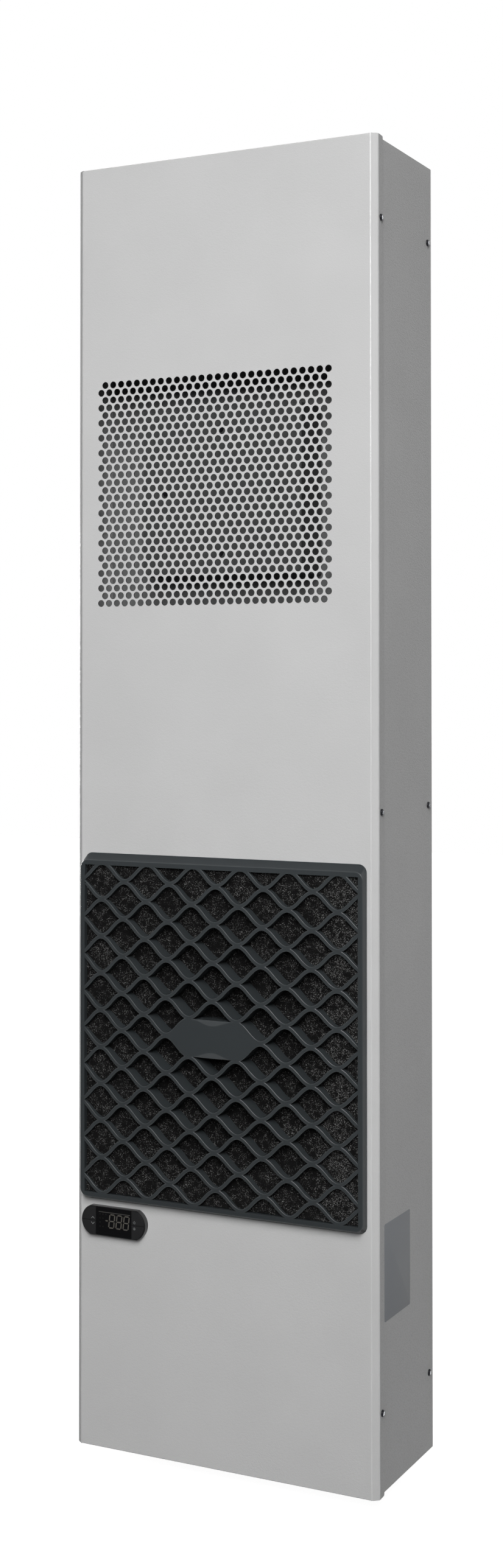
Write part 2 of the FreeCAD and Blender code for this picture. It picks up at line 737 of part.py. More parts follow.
def fan(name, x, face, z):
    """A radial fan on the front of an inlet plate: ring, impeller, motor, bracket and screws."""
    nose = (x, face - inlet_depth, z)
    lip = bar(f"{name}_lip", ROUND_SIDES, inlet_radius + inlet_lip, (x, face - panel, z), panel, "y")
    nozzle = bar(f"{name}_nozzle", ROUND_SIDES, inlet_radius + panel, nose, inlet_depth, "y")
    throat = bar(f"{name}_throat", ROUND_SIDES, inlet_radius, nose, inlet_depth, "y")
    ring = cut(f"{name}_inlet_ring", fused(f"{name}_ring_solid", lip, nozzle), throat)
    keep(ring, f"{name}_inlet_ring")
    impeller(f"{name}_impeller", (x, face, z))
    web = face - fan_depth
    reach = bracket_width / 2
    points = [
        (x - reach, face),
        (x - reach, web - panel),
        (x + reach, web - panel),
        (x + reach, face),
        (x + reach - panel, face),
        (x + reach - panel, web),
        (x - reach + panel, web),
        (x - reach + panel, face),
    ]
    bracket = bent_along(f"{name}_bracket_sheet", points, z - bracket_height / 2, z + bracket_height / 2)
    motor_front = web + motor_flange_thickness
    shaft_start = motor_front + motor_length
    shaft_end = face - inlet_depth - impeller_gap
    motor = fused(
        f"{name}_motor_solid",
        bar(f"{name}_motor_flange", ROUND_SIDES, motor_flange, (x, web, z), motor_flange_thickness, "y"),
        bar(f"{name}_motor_can", ROUND_SIDES, motor_radius, (x, motor_front, z), motor_length, "y"),
        cylinder(f"{name}_shaft", shaft_radius, (x, shaft_start, z), shaft_end - shaft_start, "y"),
    )
    places = [
        (x + motor_screw_reach, z),
        (x - motor_screw_reach, z),
        (x, z + motor_screw_reach),
        (x, z - motor_screw_reach),
    ]
    screws = []
    drills = {"motor": [], "bracket": []}
    for k, (screw_x, screw_z) in enumerate(places):
        seat = web - panel
        start = (screw_x, seat - screw_head_height, screw_z)
        head = bar(f"{name}_screw_head_{k}", SCREW_SIDES, screw_head_radius, start, screw_head_height, "y")
        start = (screw_x, seat, screw_z)
        shank = bar(f"{name}_screw_shank_{k}", SCREW_SIDES, screw_radius, start, motor_screw_length, "y")
        screws.append(fused(f"{name}_screw_{k}", head, shank))
        for piece, tools in drills.items():
            start = (screw_x, seat - PUNCH, screw_z)
            radius = screw_radius + screw_clearance
            tools.append(bar(f"{name}_{piece}_drill_{k}", SCREW_SIDES, radius, start, fan_depth / 2, "y"))
    keep(cut(f"{name}_fan_motor", motor, *drills["motor"]), f"{name}_fan_motor")
    keep(cut(f"{name}_fan_bracket", bracket, *drills["bracket"]), f"{name}_fan_bracket")
    keep(grouped(f"{name}_motor_screws", screws), f"{name}_motor_screws")


def impeller(label, place):
    """Backward swept impeller: shroud, a ring of blades, back plate and bored hub."""
    owner = doc.addObject("PartDesign::Body", label)
    shroud_start = inlet_depth + impeller_gap
    blade_start = shroud_start + impeller_plate
    back_end = shroud_start + impeller_depth
    back_start = back_end - impeller_plate
    pad(owner, polygon(sketch(owner, "XY_Plane", back_start), ring_points(impeller_radius)), impeller_plate)
    hub = polygon(sketch(owner, "XY_Plane", blade_start), ring_points(hub_radius))
    pad(owner, hub, back_end - blade_start)
    tip = impeller_radius - blade_inset
    blade = polygon(
        sketch(owner, "XY_Plane", blade_start),
        [
            (blade_inner, 0),
            (tip, -blade_sweep),
            (tip, impeller_plate - blade_sweep),
            (blade_inner, impeller_plate),
        ],
    )
    first = pad(owner, blade, back_start - blade_start)
    doc.recompute()
    ring = owner.newObject("PartDesign::PolarPattern", f"{label}_blades")
    ring.Originals = [first]
    ring.Axis = (blade, ["N_Axis"])
    ring.Angle = 360
    ring.Occurrences = BLADES
    owner.Tip = ring
    doc.recompute()
    shroud = polygon(sketch(owner, "XY_Plane", shroud_start), ring_points(impeller_radius))
    polygon(shroud, ring_points(inlet_radius + panel + impeller_gap))
    pad(owner, shroud, impeller_plate)
    bore = circle(sketch(owner, "XY_Plane", back_end), shaft_radius + shaft_clearance)
    hole = owner.newObject("PartDesign::Pocket", f"{label}_bore")
    hole.Profile = bore
    bind(hole, "Length", back_end)
    put(owner, place, FORWARD)
    return keep(owner, label)


def finned_coil(label, front_y, back_y, low, high, wing_y):
    """A fin block between two side plates that reach forward to what carries the coil."""
    parts = [box(f"{label}_fins", (-coil_half, front_y, low), (coil_half, back_y, high))]
    for side, start, end in (("left", -coil_side, -coil_half), ("right", coil_half, coil_side)):
        parts.append(box(f"{label}_{side}_plate", (start, wing_y, low), (end, back_y, high)))
    return parts


def coils():
    """Condenser behind the filter, carried by the casing flange; evaporator carried by the partition."""
    parts = finned_coil(
        "condenser", condenser_front, condenser_back, condenser_low, condenser_high, flange_back
    )
    for side, start, end in (("left", -inner_half, -coil_half), ("right", coil_half, inner_half)):
        low = (start, flange_back, condenser_low)
        parts.append(box(f"condenser_{side}_wing", low, (end, flange_back + panel, condenser_high)))
    keep(fused("condenser_coil", *parts), "condenser_coil")
    parts = finned_coil(
        "evaporator", evaporator_front, evaporator_back, evaporator_low, evaporator_high, partition_y + panel
    )
    keep(fused("evaporator_coil", *parts), "evaporator_coil")
    return_bends("condenser_bends", condenser_front, condenser_back, condenser_low, condenser_high)
    return_bends("evaporator_bends", evaporator_front, evaporator_back, evaporator_low, evaporator_high)


def tube(points, radius):
    """A pipe along straight runs joined by bends, each bend in BEND_STEPS chords."""
    corners = [FreeCAD.Vector(*(float(value) for value in point)) for point in points]
    bend = float(bend_radius)
    path = corners[:1]
    for before, corner, after in zip(corners, corners[1:], corners[2:]):
        arrive = (corner - before).normalize()
        leave = (after - corner).normalize()
        turn = arrive.getAngle(leave)
        start = corner - arrive * (bend * math.tan(turn / 2))
        outward = (leave - arrive * math.cos(turn)).normalize()
        for k in range(BEND_STEPS + 1):
            angle = turn * k / BEND_STEPS
            path.append(start + arrive * (bend * math.sin(angle)) + outward * (bend * (1 - math.cos(angle))))
    return swept(path + corners[-1:], float(radius))


def skinned(rings):
    """A solid of flat faces between neighbouring rings of corners, closed at both ends."""
    outlines = [rings[0], rings[-1]]
    for low, high in zip(rings, rings[1:]):
        count = len(low)
        for k in range(count):
            after = (k + 1) % count
            outlines.append([low[k], low[after], high[after], high[k]])
    faces = [Part.Face(Part.makePolygon(outline + outline[:1])) for outline in outlines]
    solid = Part.makeSolid(Part.makeShell(faces))
    return solid if solid.Volume > 0 else solid.reversed()


def swept(path, radius):
    """A bar with flat sides along a path of chords, mitred at each joint."""
    steps = [(after - before).normalize() for before, after in zip(path, path[1:])]
    side = steps[0].cross(FreeCAD.Vector(0.3, 0.5, 0.8)).normalize()
    other = steps[0].cross(side)
    angles = [2 * math.pi * k / PIPE_SIDES for k in range(PIPE_SIDES)]
    offsets = [side * (radius * math.cos(angle)) + other * (radius * math.sin(angle)) for angle in angles]
    rings = []
    for k, centre in enumerate(path):
        before = steps[max(k - 1, 0)]
        after = steps[min(k, len(steps) - 1)]
        mitre = (before + after).normalize()
        offsets = [offset - before * (offset.dot(mitre) / before.dot(mitre)) for offset in offsets]
        rings.append([centre + offset for offset in offsets])
        offsets = [offset - after * offset.dot(after) for offset in offsets]
    return skinned(rings)


def return_bends(label, front_y, back_y, low, high):
    """Half rings that join neighbouring tubes at the left end of a coil."""
    radius = float(return_bend_radius)
    stub = float(return_stub)
    x = -float(coil_side)
    y = (float(front_y) + float(back_y)) / 2
    pitch = (float(high) - float(low)) / RETURN_BENDS
    bends = []
    for k in range(RETURN_BENDS):
        z = float(low) + pitch * (k + 0.5)
        angles = [math.pi * step / (2 * BEND_STEPS) for step in range(2 * BEND_STEPS + 1)]
        arc = [(x - stub - radius * math.sin(angle), z - radius * math.cos(angle)) for angle in angles]
        path = [(x, z - radius)] + arc + [(x, z + radius)]
        bends.append(swept([FreeCAD.Vector(along, y, up) for along, up in path], float(return_tube_radius)))
    return keep(shaped(label, Part.makeCompound(bends)), label)


def compressor():
    """Hermetic compressor on rubber feet, with its suction accumulator."""
    foot = compressor_low + compressor_foot_thickness
    crown = compressor_radius - compressor_shoulder
    levels = [
        (crown, foot),
        (compressor_radius, foot + compressor_shoulder),
        (compressor_radius, compressor_top - compressor_shoulder),
        (crown, compressor_top),
    ]
    angles = [2 * math.pi * k / ROUND_SIDES for k in range(ROUND_SIDES)]
    rings = [
        [
            FreeCAD.Vector(
                float(compressor_x) + float(radius) * math.cos(angle),
                float(compressor_y) + float(radius) * math.sin(angle),
                float(height),
            )
            for angle in angles
        ]
        for radius, height in levels
    ]
    can = shaped("compressor_can", skinned(rings))
    centre = (compressor_x, compressor_y, compressor_low)
    plate = bar("compressor_foot_plate", ROUND_SIDES, compressor_foot, centre, compressor_foot_thickness)
    keep(fused("compressor", can, plate), "compressor")
    feet = []
    for k in range(3):
        angle = 2 * math.pi * k / 3
        x = compressor_x + grommet_reach * math.cos(angle)
        y = compressor_y + grommet_reach * math.sin(angle)
        start = (x, y, floor + base_thickness)
        feet.append(bar(f"foot_{k}", SCREW_SIDES, grommet_radius, start, grommet_height))
    keep(grouped("compressor_feet", feet), "compressor_feet")
    reach = base_width / 2
    base = box(
        "compressor_base",
        (compressor_x - reach, compressor_y - reach + grommet_radius, floor),
        (compressor_x + reach, compressor_y + reach - grommet_radius, floor + base_thickness),
    )
    keep(base, "compressor_base")
    x = compressor_x + compressor_radius + accumulator_gap + accumulator_radius
    low = foot + accumulator_rise
    can = bar("accumulator_can", ROUND_SIDES, accumulator_radius, (x, compressor_y, low), accumulator_height)
    strap = box(
        "accumulator_strap",
        (compressor_x + compressor_radius, compressor_y - strap_width / 2, low + accumulator_height / 2),
        (x, compressor_y + strap_width / 2, low + accumulator_height / 2 + strap_width),
    )
    keep(fused("accumulator", can, strap), "accumulator")
    return x, low + accumulator_height


def refrigerant_lines(accumulator_x, accumulator_top):
    """Discharge, liquid, capillary and suction lines round the circuit, with the filter drier."""
    coil_y = (condenser_front + condenser_back) / 2
    entry = condenser_low + 2 * return_bend_radius
    top = compressor_top + discharge_rise
    discharge = [
        (compressor_x, compressor_y, compressor_top),
        (compressor_x, compressor_y, top),
        (riser_x, compressor_y, top),
        (riser_x, coil_y, top),
        (riser_x, coil_y, entry),
        (coil_side, coil_y, entry),
    ]
    keep(shaped("discharge_line", tube(discharge, pipe_radius)), "discharge_line")
    outlet = condenser_high - 2 * return_bend_radius
    drier_y = condenser_back
    drier_top = outlet - drier_drop
    liquid = [
        (coil_side, coil_y, outlet),
        (riser_x, coil_y, outlet),
        (riser_x, drier_y, outlet),
        (riser_x, drier_y, drier_top),
    ]
    keep(shaped("liquid_line", tube(liquid, liquid_radius)), "liquid_line")
    drier_foot = drier_top - drier_length
    drier = bar("filter_drier", ROUND_SIDES, drier_radius, (riser_x, drier_y, drier_foot), drier_length)
    keep(drier, "filter_drier")
    capillary = [
        (riser_x, drier_y, drier_foot),
        (riser_x, drier_y, drier_foot - 2 * bend_radius),
        (riser_x, capillary_y, drier_foot - 2 * bend_radius),
        (riser_x, capillary_y, capillary_z),
        (coil_side, capillary_y, capillary_z),
    ]
    keep(shaped("capillary_tube", tube(capillary, capillary_radius)), "capillary_tube")
    level = accumulator_top + suction_rise
    suction = [
        (accumulator_x, compressor_y, accumulator_top),
        (accumulator_x, compressor_y, level),
        (riser_x, suction_y, level),
        (riser_x, suction_y, suction_z),
        (coil_side, suction_y, suction_z),
    ]
    keep(shaped("suction_line", tube(suction, pipe_radius)), "suction_line")


def condensate():
    """Drip tray under the evaporator, its wall, and the drain pipe down to the spout."""
    top = evaporator_low - tray_drop
    low = top - tray_height
    back = partition_y + panel
    base = low + panel
    sole = box("tray_sole", (-tray_width / 2, back, low), (tray_width / 2, back + tray_depth, base))
    drill = bar("tray_drill", PIPE_SIDES, drain_bore, (drain_x, drain_y, low - PUNCH), panel + 2 * PUNCH)
    keep(cut("drip_tray", sole, drill), "drip_tray")
    outer = box("tray_outer", (-tray_width / 2, back, base), (tray_width / 2, back + tray_depth, top))
    inner = box(
        "tray_inner",
        (panel - tray_width / 2, back + panel, base - PUNCH),
        (tray_width / 2 - panel, back + tray_depth - panel, top + PUNCH),
    )
    keep(cut("drip_tray_wall", outer, inner), "drip_tray_wall")
    spout = -cover_top - drain_drop
    start = (drain_x, drain_y, spout)
    pipe = cylinder("drain_outer", drain_radius, start, low - spout)
    nozzle = cylinder("drain_nozzle", spout_radius, start, casing_bottom - spout_gap - spout)
    bore = bar("drain_inner", PIPE_SIDES, drain_bore, start, low - spout)
    keep(cut("drain_pipe", fused("drain_solid", pipe, nozzle), bore), "drain_pipe")


def electrics():
    """Electrical box with lid, terminal block and capacitor, and the supply connector in the rear panel."""
    left = box_gap - inner_half
    right = left + box_width
    back = -panel - box_rear_gap
    face = back - box_depth
    outer = box("box_outer", (left, face, floor), (right, back, floor + box_height))
    inner = box(
        "box_inner",
        (left + panel, face - PUNCH, floor + panel),
        (right - panel, back - panel, floor + box_height - panel),
    )
    keep(cut("electrical_box", outer, inner), "electrical_box")
    lid = box("electrical_lid", (left, face - panel, floor), (right, face, floor + box_height))
    keep(lid, "electrical_lid")
    middle = (left + right) / 2
    block = box(
        "terminal_block",
        (middle - terminal_width / 2, back - panel - terminal_depth, floor + terminal_rise),
        (middle + terminal_width / 2, back - panel, floor + terminal_rise + terminal_height),
    )
    keep(block, "terminal_block")
    can = (middle, (face + back) / 2, floor + panel)
    keep(bar("run_capacitor", ROUND_SIDES, capacitor_radius, can, capacitor_height), "run_capacitor")
    body = box(
        "connector_body",
        (connector_x - connector_width / 2, -connector_depth, connector_z - connector_height / 2),
        (connector_x + connector_width / 2, 0 * panel, connector_z + connector_height / 2),
    )
    reach_x = connector_width / 2 + connector_flange
    reach_z = connector_height / 2 + connector_flange
    border = box(
        "connector_border",
        (connector_x - reach_x, 0, connector_z - reach_z),
        (connector_x + reach_x, panel, connector_z + reach_z),
    )
    well_x = connector_width / 2 - panel
    well_z = connector_height / 2 - panel
    well = box(
        "connector_well",
        (connector_x - well_x, -connector_depth / 2, connector_z - well_z),
        (connector_x + well_x, panel + PUNCH, connector_z + well_z),
    )
    keep(cut("supply_connector", fused("connector_solid", body, border), well), "supply_connector")


def pill(name, inset, start, end):
    """The controller's outline, flat above and below with round ends, drawn in by an inset."""
    radius = controller_end - inset
    reach = controller_width / 2 - controller_end
    rise = controller_height / 2 - inset
    middle = box(
        f"{name}_middle",
        (controller_x - reach, start, controller_z - rise),
        (controller_x + reach, end, controller_z + rise),
    )
    ends = [
        cylinder(f"{name}_{side}", radius, (controller_x + offset, start, controller_z), end - start, "y")
        for side, offset in (("left", -reach), ("right", reach))
    ]
    bound = box(
        f"{name}_bound",
        (controller_x - controller_width, start, controller_z - rise),
        (controller_x + controller_width, end, controller_z + rise),
    )
    return common(name, bound, fused(f"{name}_round", middle, *ends))


def controller():
    """Panel mounted controller: housing, display window, board, side clips and four buttons."""
    bezel = front - controller_rise
    body_x = cutout_width / 2 - cutout_clearance
    body_z = cutout_height / 2 - cutout_clearance
    body_end = front + controller_depth
    body = box(
        "controller_body",
        (controller_x - body_x, front, controller_z - body_z),
        (controller_x + body_x, body_end, controller_z + body_z),
    )
    cavity_x = body_x - controller_wall
    cavity_z = body_z - controller_wall
    cavity = box(
        "controller_cavity",
        (controller_x - cavity_x, front, controller_z - cavity_z),
        (controller_x + cavity_x, body_end + PUNCH, controller_z + cavity_z),
    )
    recess = box(
        "controller_recess",
        (controller_x - display_width / 2, bezel - PUNCH, controller_z - display_height / 2),
        (controller_x + display_width / 2, bezel + display_thickness, controller_z + display_height / 2),
    )
    edge = display_width / 2 + button_split / 2
    far = controller_width / 2
    split = button_split / 2
    high = controller_height / 2
    corners = {
        "button_up": ((-far, split), (-edge, high)),
        "button_down": ((-far, -high), (-edge, -split)),
        "button_standby": ((edge, split), (far, high)),
        "button_set": ((edge, -high), (far, -split)),
    }
    wells = []
    for label, (low, top) in corners.items():
        seat = bezel - button_rise
        end = seat + button_thickness
        button = common(
            label,
            pill(f"{label}_outline", button_rim, seat, end),
            box(
                f"{label}_quarter",
                (controller_x + low[0], seat, controller_z + low[1]),
                (controller_x + top[0], end, controller_z + top[1]),
            ),
        )
        keep(button, label)
        depth = end + button_travel + button_clearance
        gap = button_clearance
        wells.append(
            common(
                f"{label}_well",
                pill(f"{label}_well_outline", button_rim - gap, bezel - PUNCH, depth),
                box(
                    f"{label}_well_quarter",
                    (controller_x + low[0] - gap, bezel - PUNCH, controller_z + low[1] - gap),
                    (controller_x + top[0] + gap, depth, controller_z + top[1] + gap),
                ),
            )
        )
    solid = fused("controller_solid", pill("controller_bezel", 0, bezel, front), body)
    keep(cut("controller_housing", solid, cavity, recess, *wells), "controller_housing")
    window = box(
        "controller_window",
        (controller_x - display_width / 2, bezel, controller_z - display_height / 2),
        (controller_x + display_width / 2, bezel + display_thickness, controller_z + display_height / 2),
    )
    keep(window, "controller_window")
    board = box(
        "controller_board",
        (controller_x - cavity_x, front + 2 * controller_wall, controller_z - cavity_z),
        (controller_x + cavity_x, front + 2 * controller_wall + board_thickness, controller_z + cavity_z),
    )
    keep(board, "controller_board")
    clips = [
        box(
            f"controller_clip_{side}",
            (controller_x + start, cover_back, controller_z - body_z / 2),
            (controller_x + start + clip_width, cover_back + clip_length, controller_z + body_z / 2),
        )
        for side, start in (("left", -body_x - clip_width), ("right", body_x))
    ]
    keep(grouped("controller_clips", clips), "controller_clips")


def rib_edge(x):
    """Height of a lattice opening above its middle at a distance x: a cosine rib less half its width."""
    swing = (float(wave_row) - float(wave_meet)) / 2
    turn = math.pi * x / float(wave_step)
    slope = swing * math.pi / float(wave_step) * math.sin(turn)
    return float(wave_row) / 2 + swing * math.cos(turn) - float(rib_width) / 2 * math.hypot(1, slope)


def opening_half_width():
    """Where the rib edges above and below an opening meet, by halving the interval."""
    low = 0.0
    high = float(wave_step)
    while high - low > 1e-6:
        middle = (low + high) / 2
        if rib_edge(middle) > 0:
            low = middle
        else:
            high = middle
    return low


def opening_outline():
    """Corners of one lattice opening about its middle: two ribs in opposite phase.

    The flanks run straight from the points through the middle of the rib edge to a short flat crest.
    """
    reach = opening_half_width()
    crest = CREST_SHARE * reach
    rise = rib_edge(reach / 2) * (reach - crest) / (reach / 2)
    return [(-reach, 0.0), (-crest, rise), (crest, rise), (reach, 0.0), (crest, -rise), (-crest, -rise)]


def flat_rectangle(low_x, high_x, low_z, high_z, y):
    """A flat face parallel to the front."""
    corners = [(low_x, low_z), (high_x, low_z), (high_x, high_z), (low_x, high_z), (low_x, low_z)]
    return Part.Face(Part.makePolygon([FreeCAD.Vector(x, y, z) for x, z in corners]))


def lattice_openings(back):
    """Prisms of all openings, cut off at the rim and at the bare badge in the middle."""
    rim = float(grille_rim)
    reach_x = float(grille_width) / 2 - rim
    reach_z = float(grille_height) / 2 - float(grille_slope) - rim
    middle = float(grille_z)
    step = float(wave_step)
    row = float(wave_row)
    outline = opening_outline()
    limits = flat_rectangle(-reach_x, reach_x, middle - reach_z, middle + reach_z, back)
    badge = flat_rectangle(-2 * step, 2 * step, middle - row, middle + row, back)
    through = FreeCAD.Vector(0, -float(grille_rise) - float(grille_dome) - 2 * PUNCH, 0)
    columns = math.ceil(reach_x / step)
    rows = math.ceil(reach_z / row)
    prisms = []
    for i in range(-columns, columns + 1):
        for j in range(-rows, rows + 1):
            if (i + j) % 2 == 0 or (abs(i) == 1 and j == 0):
                continue
            points = [FreeCAD.Vector(i * step + x, back, middle + j * row + z) for x, z in outline]
            face = Part.Face(Part.makePolygon(points + points[:1]))
            if max(abs(i * step) + step - reach_x, abs(j * row) + row - reach_z) > 0:
                face = face.common(limits)
            if i == 0 and abs(j) == 1:
                face = face.cut(badge)
            prisms += [part.extrude(through) for part in face.Faces]
    return prisms


def grille_block():
    """The grille before it is opened: leaning ends, rounded corners and a domed front."""
    width = float(grille_width) / 2
    base = float(grille_height) / 2
    crest = base - float(grille_slope)
    middle = float(grille_z)
    back = float(front) - float(grille_gap)
    face = back - float(grille_rise)
    side = [
        FreeCAD.Vector(-width, back, middle - base),
        FreeCAD.Vector(-width, face, middle - crest),
        FreeCAD.Vector(-width, face, middle + crest),
        FreeCAD.Vector(-width, back, middle + base),
    ]
    wedge = Part.Face(Part.makePolygon(side + side[:1])).extrude(FreeCAD.Vector(2 * width, 0, 0))
    dome = Part.BezierSurface()
    dome.increase(2, 2)
    for i, x in enumerate((-width, 0, width)):
        for j, z in enumerate((-crest, 0, crest)):
            bulge = 4 * float(grille_dome) if i == 1 and j == 1 else 0
            dome.setPole(i + 1, j + 1, FreeCAD.Vector(x, face - bulge, middle + z))
    crown = dome.toShape().extrude(FreeCAD.Vector(0, float(grille_rise) / 2, 0))
    depth = float(grille_rise) + float(grille_dome)
    bound = Part.makeBox(2 * width, depth, 2 * base, FreeCAD.Vector(-width, back - depth, middle - base))
    upright = [edge for edge in bound.Edges if abs(edge.tangentAt(edge.FirstParameter).y) > 0.5]
    return wedge.fuse(crown).common(bound.makeFillet(float(grille_corner), upright)), back


def grille_tabs(back):
    """Four tabs that locate the grille inside the filter window, each with a root in the frame."""
    tabs = []
    width = float(tab_width)
    thickness = float(tab_thickness)
    sunk = float(grille_rise) / 2
    edge = float(window_height) / 2 - float(tab_gap) - thickness
    for x in (-float(tab_span) / 2 - width / 2, float(tab_span) / 2 - width / 2):
        for side in (-1, 1):
            for height, length in ((thickness, sunk + float(tab_length)), (float(tab_root), sunk)):
                low = float(grille_z) + (edge if side > 0 else -edge - height)
                tabs.append(Part.makeBox(width, length, height, FreeCAD.Vector(x, back - sunk, low)))
    return tabs


def filter_grille():
    """Domed lattice of wave ribs in opposite phase, in a frame with four tabs, and the foam mat behind it."""
    block, back = grille_block()
    lattice = block.cut(lattice_openings(back + PUNCH)).fuse(grille_tabs(back)).removeSplitter()
    keep(shaped("filter_grille", lattice), "filter_grille")
    reach_x = window_width / 2 - mat_gap
    reach_z = window_height / 2 - tab_gap - tab_thickness - tab_gap
    mat_front = front - grille_gap
    mat = box(
        "filter_mat",
        (-reach_x, mat_front, grille_z - reach_z),
        (reach_x, mat_front + mat_thickness, grille_z + reach_z),
    )
    keep(mat, "filter_mat")


def check_and_write():
    """Stop on any failed object or bad shape, then write one file per piece."""
    doc.recompute()
    for item in doc.Objects:
        if "Invalid" in item.State or "Error" in item.State:
            raise RuntimeError(f"{item.Label} failed: {item.State}")
    for label, item in NODES.items():
        if item.Label != label:
            raise RuntimeError(f"{label} is named {item.Label}")
        if item.Shape.isNull() or not item.Shape.isValid() or not item.Shape.Solids:
            raise RuntimeError(f"{label} has no valid solid")
    os.makedirs("parts", exist_ok=True)
    for label, item in NODES.items():
        item.Shape.exportStep(f"parts/{label}.step")


front_cover()
casing_wrap()
casing_frame()
rear_panel()
side_screws("cover_screws", half, cover_screw_y)
side_screws("rear_screws", casing_half, -rear_screw_inset)
mounting_inserts()
mounting_gasket()
rear_guard("inlet_guard", evaporator_fan_z, 2 * inlet_radius, 2 * inlet_radius)
rear_guard("outlet_guard", rear_outlet_z, rear_outlet_width, rear_outlet_height)
partition_plate()
condenser_shelf()
fan("condenser", outlet_x, condenser_face, outlet_z)
fan("evaporator", 0, -panel, evaporator_fan_z)
coils()
refrigerant_lines(*compressor())
condensate()
electrics()
controller()
filter_grille()
check_and_write()
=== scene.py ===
import json
import math

import bmesh
import bpy
import numpy as np
from bpy.props import FloatProperty, FloatVectorProperty, IntProperty, PointerProperty
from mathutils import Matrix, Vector


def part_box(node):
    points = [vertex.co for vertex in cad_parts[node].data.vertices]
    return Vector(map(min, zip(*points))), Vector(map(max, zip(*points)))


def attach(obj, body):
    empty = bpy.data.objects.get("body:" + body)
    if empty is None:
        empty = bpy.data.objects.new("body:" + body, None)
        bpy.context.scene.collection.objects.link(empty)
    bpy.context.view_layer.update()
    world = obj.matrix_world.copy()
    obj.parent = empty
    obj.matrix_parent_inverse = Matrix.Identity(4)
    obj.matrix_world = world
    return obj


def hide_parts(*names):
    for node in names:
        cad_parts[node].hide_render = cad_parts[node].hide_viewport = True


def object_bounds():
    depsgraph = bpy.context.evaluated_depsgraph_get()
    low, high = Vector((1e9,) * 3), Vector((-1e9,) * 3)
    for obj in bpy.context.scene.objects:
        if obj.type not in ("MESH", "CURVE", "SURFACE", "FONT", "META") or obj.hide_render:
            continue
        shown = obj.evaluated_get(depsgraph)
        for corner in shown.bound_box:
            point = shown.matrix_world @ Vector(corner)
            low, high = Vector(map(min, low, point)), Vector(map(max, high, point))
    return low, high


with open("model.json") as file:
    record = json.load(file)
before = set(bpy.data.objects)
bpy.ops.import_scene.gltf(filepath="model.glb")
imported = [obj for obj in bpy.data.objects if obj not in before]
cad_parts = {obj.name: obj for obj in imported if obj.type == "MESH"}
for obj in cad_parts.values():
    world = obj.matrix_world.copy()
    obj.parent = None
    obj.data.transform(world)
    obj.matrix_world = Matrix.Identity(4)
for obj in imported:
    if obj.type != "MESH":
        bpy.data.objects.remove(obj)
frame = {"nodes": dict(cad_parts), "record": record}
cad_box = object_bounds()

bl_info = {
    "name": "Enclosure air conditioner",
    "version": (1, 0, 0),
    "blender": (4, 5, 0),
    "location": "3D View > Sidebar > Cooling",
    "description": "Dresses the packed enclosure air conditioner with its finished surfaces",
    "category": "Object",
}

MM = 0.001
MERGE = 1e-6
HOUSING = "housing"
FILTER_UNIT = "filter_unit"
HOLE_CORNERS = 16
PUNCHED = 2
FOLD_STEPS = 4
WHITE = (1, 1, 1, 1)
PRINT = 0.04 * MM


def length(name, description, default):
    """A length property in metres, given in millimetres."""
    return FloatProperty(name=name, description=description, default=default * MM, unit="LENGTH", precision=5)


def angle(name, description, default):
    """An angle property, given in degrees."""
    return FloatProperty(name=name, description=description, default=math.radians(default), subtype="ANGLE")


def number(name, description, default):
    """A plain number."""
    return FloatProperty(name=name, description=description, default=default)


def whole(name, description, default):
    """A whole number of two or more."""
    return IntProperty(name=name, description=description, default=default, min=2)


def place(name, description, default):
    """A place in metres."""
    return FloatVectorProperty(name=name, description=description, default=default, subtype="TRANSLATION")


def colour(name, description, default):
    """A colour property, given as three steps from 0 to 255 as a screen shows them."""
    share = np.array(default) / 255
    linear = np.where(share <= 0.04045, share / 12.92, ((share + 0.055) / 1.055) ** 2.4)
    return FloatVectorProperty(
        name=name, description=description, default=tuple(linear), subtype="COLOR", size=3, min=0, max=1
    )


class CoverSizes(bpy.types.PropertyGroup):
    """Sizes of the bent front cover and of its outlet field."""

    sheet: length("Sheet", "Thickness of the steel sheet", 1.5)
    flat_half: length("Flat half", "Half the width of the flat front", 190.6)
    bevel_depth: length("Bevel depth", "How far the bevel falls back from the front", 6.1)
    lean: length("Lean", "How far the side returns close in on the casing", 0.7)
    fold: length("Fold", "Outer radius of a fold", 3.2)
    end_fold: length("End fold", "Outer radius of the folds at the top and the foot", 1.2)
    corner: length("Corner", "Rounded corner of a side return", 1.8)
    relief: length("Relief", "Notch beside the end returns", 0.5)
    hole_radius: length("Hole radius", "Radius of an outlet hole", 4.2)
    hole_step: length("Hole step", "From hole to hole in a row", 10.99)
    row_step: length("Row step", "From row to row", 9.15)
    field_x: length("Field middle, across", "Middle of the outlet field", -12.75)
    field_z: length("Field middle, up", "Middle of the outlet field", 376.4)
    window_half: length("Window half", "Half the width of the filter window", 172)
    window_rise: length("Window rise", "Half the height of the filter window", 196)
    columns: whole("Columns", "Holes in a row", 28)
    rows: whole("Rows", "Rows of holes", 30)


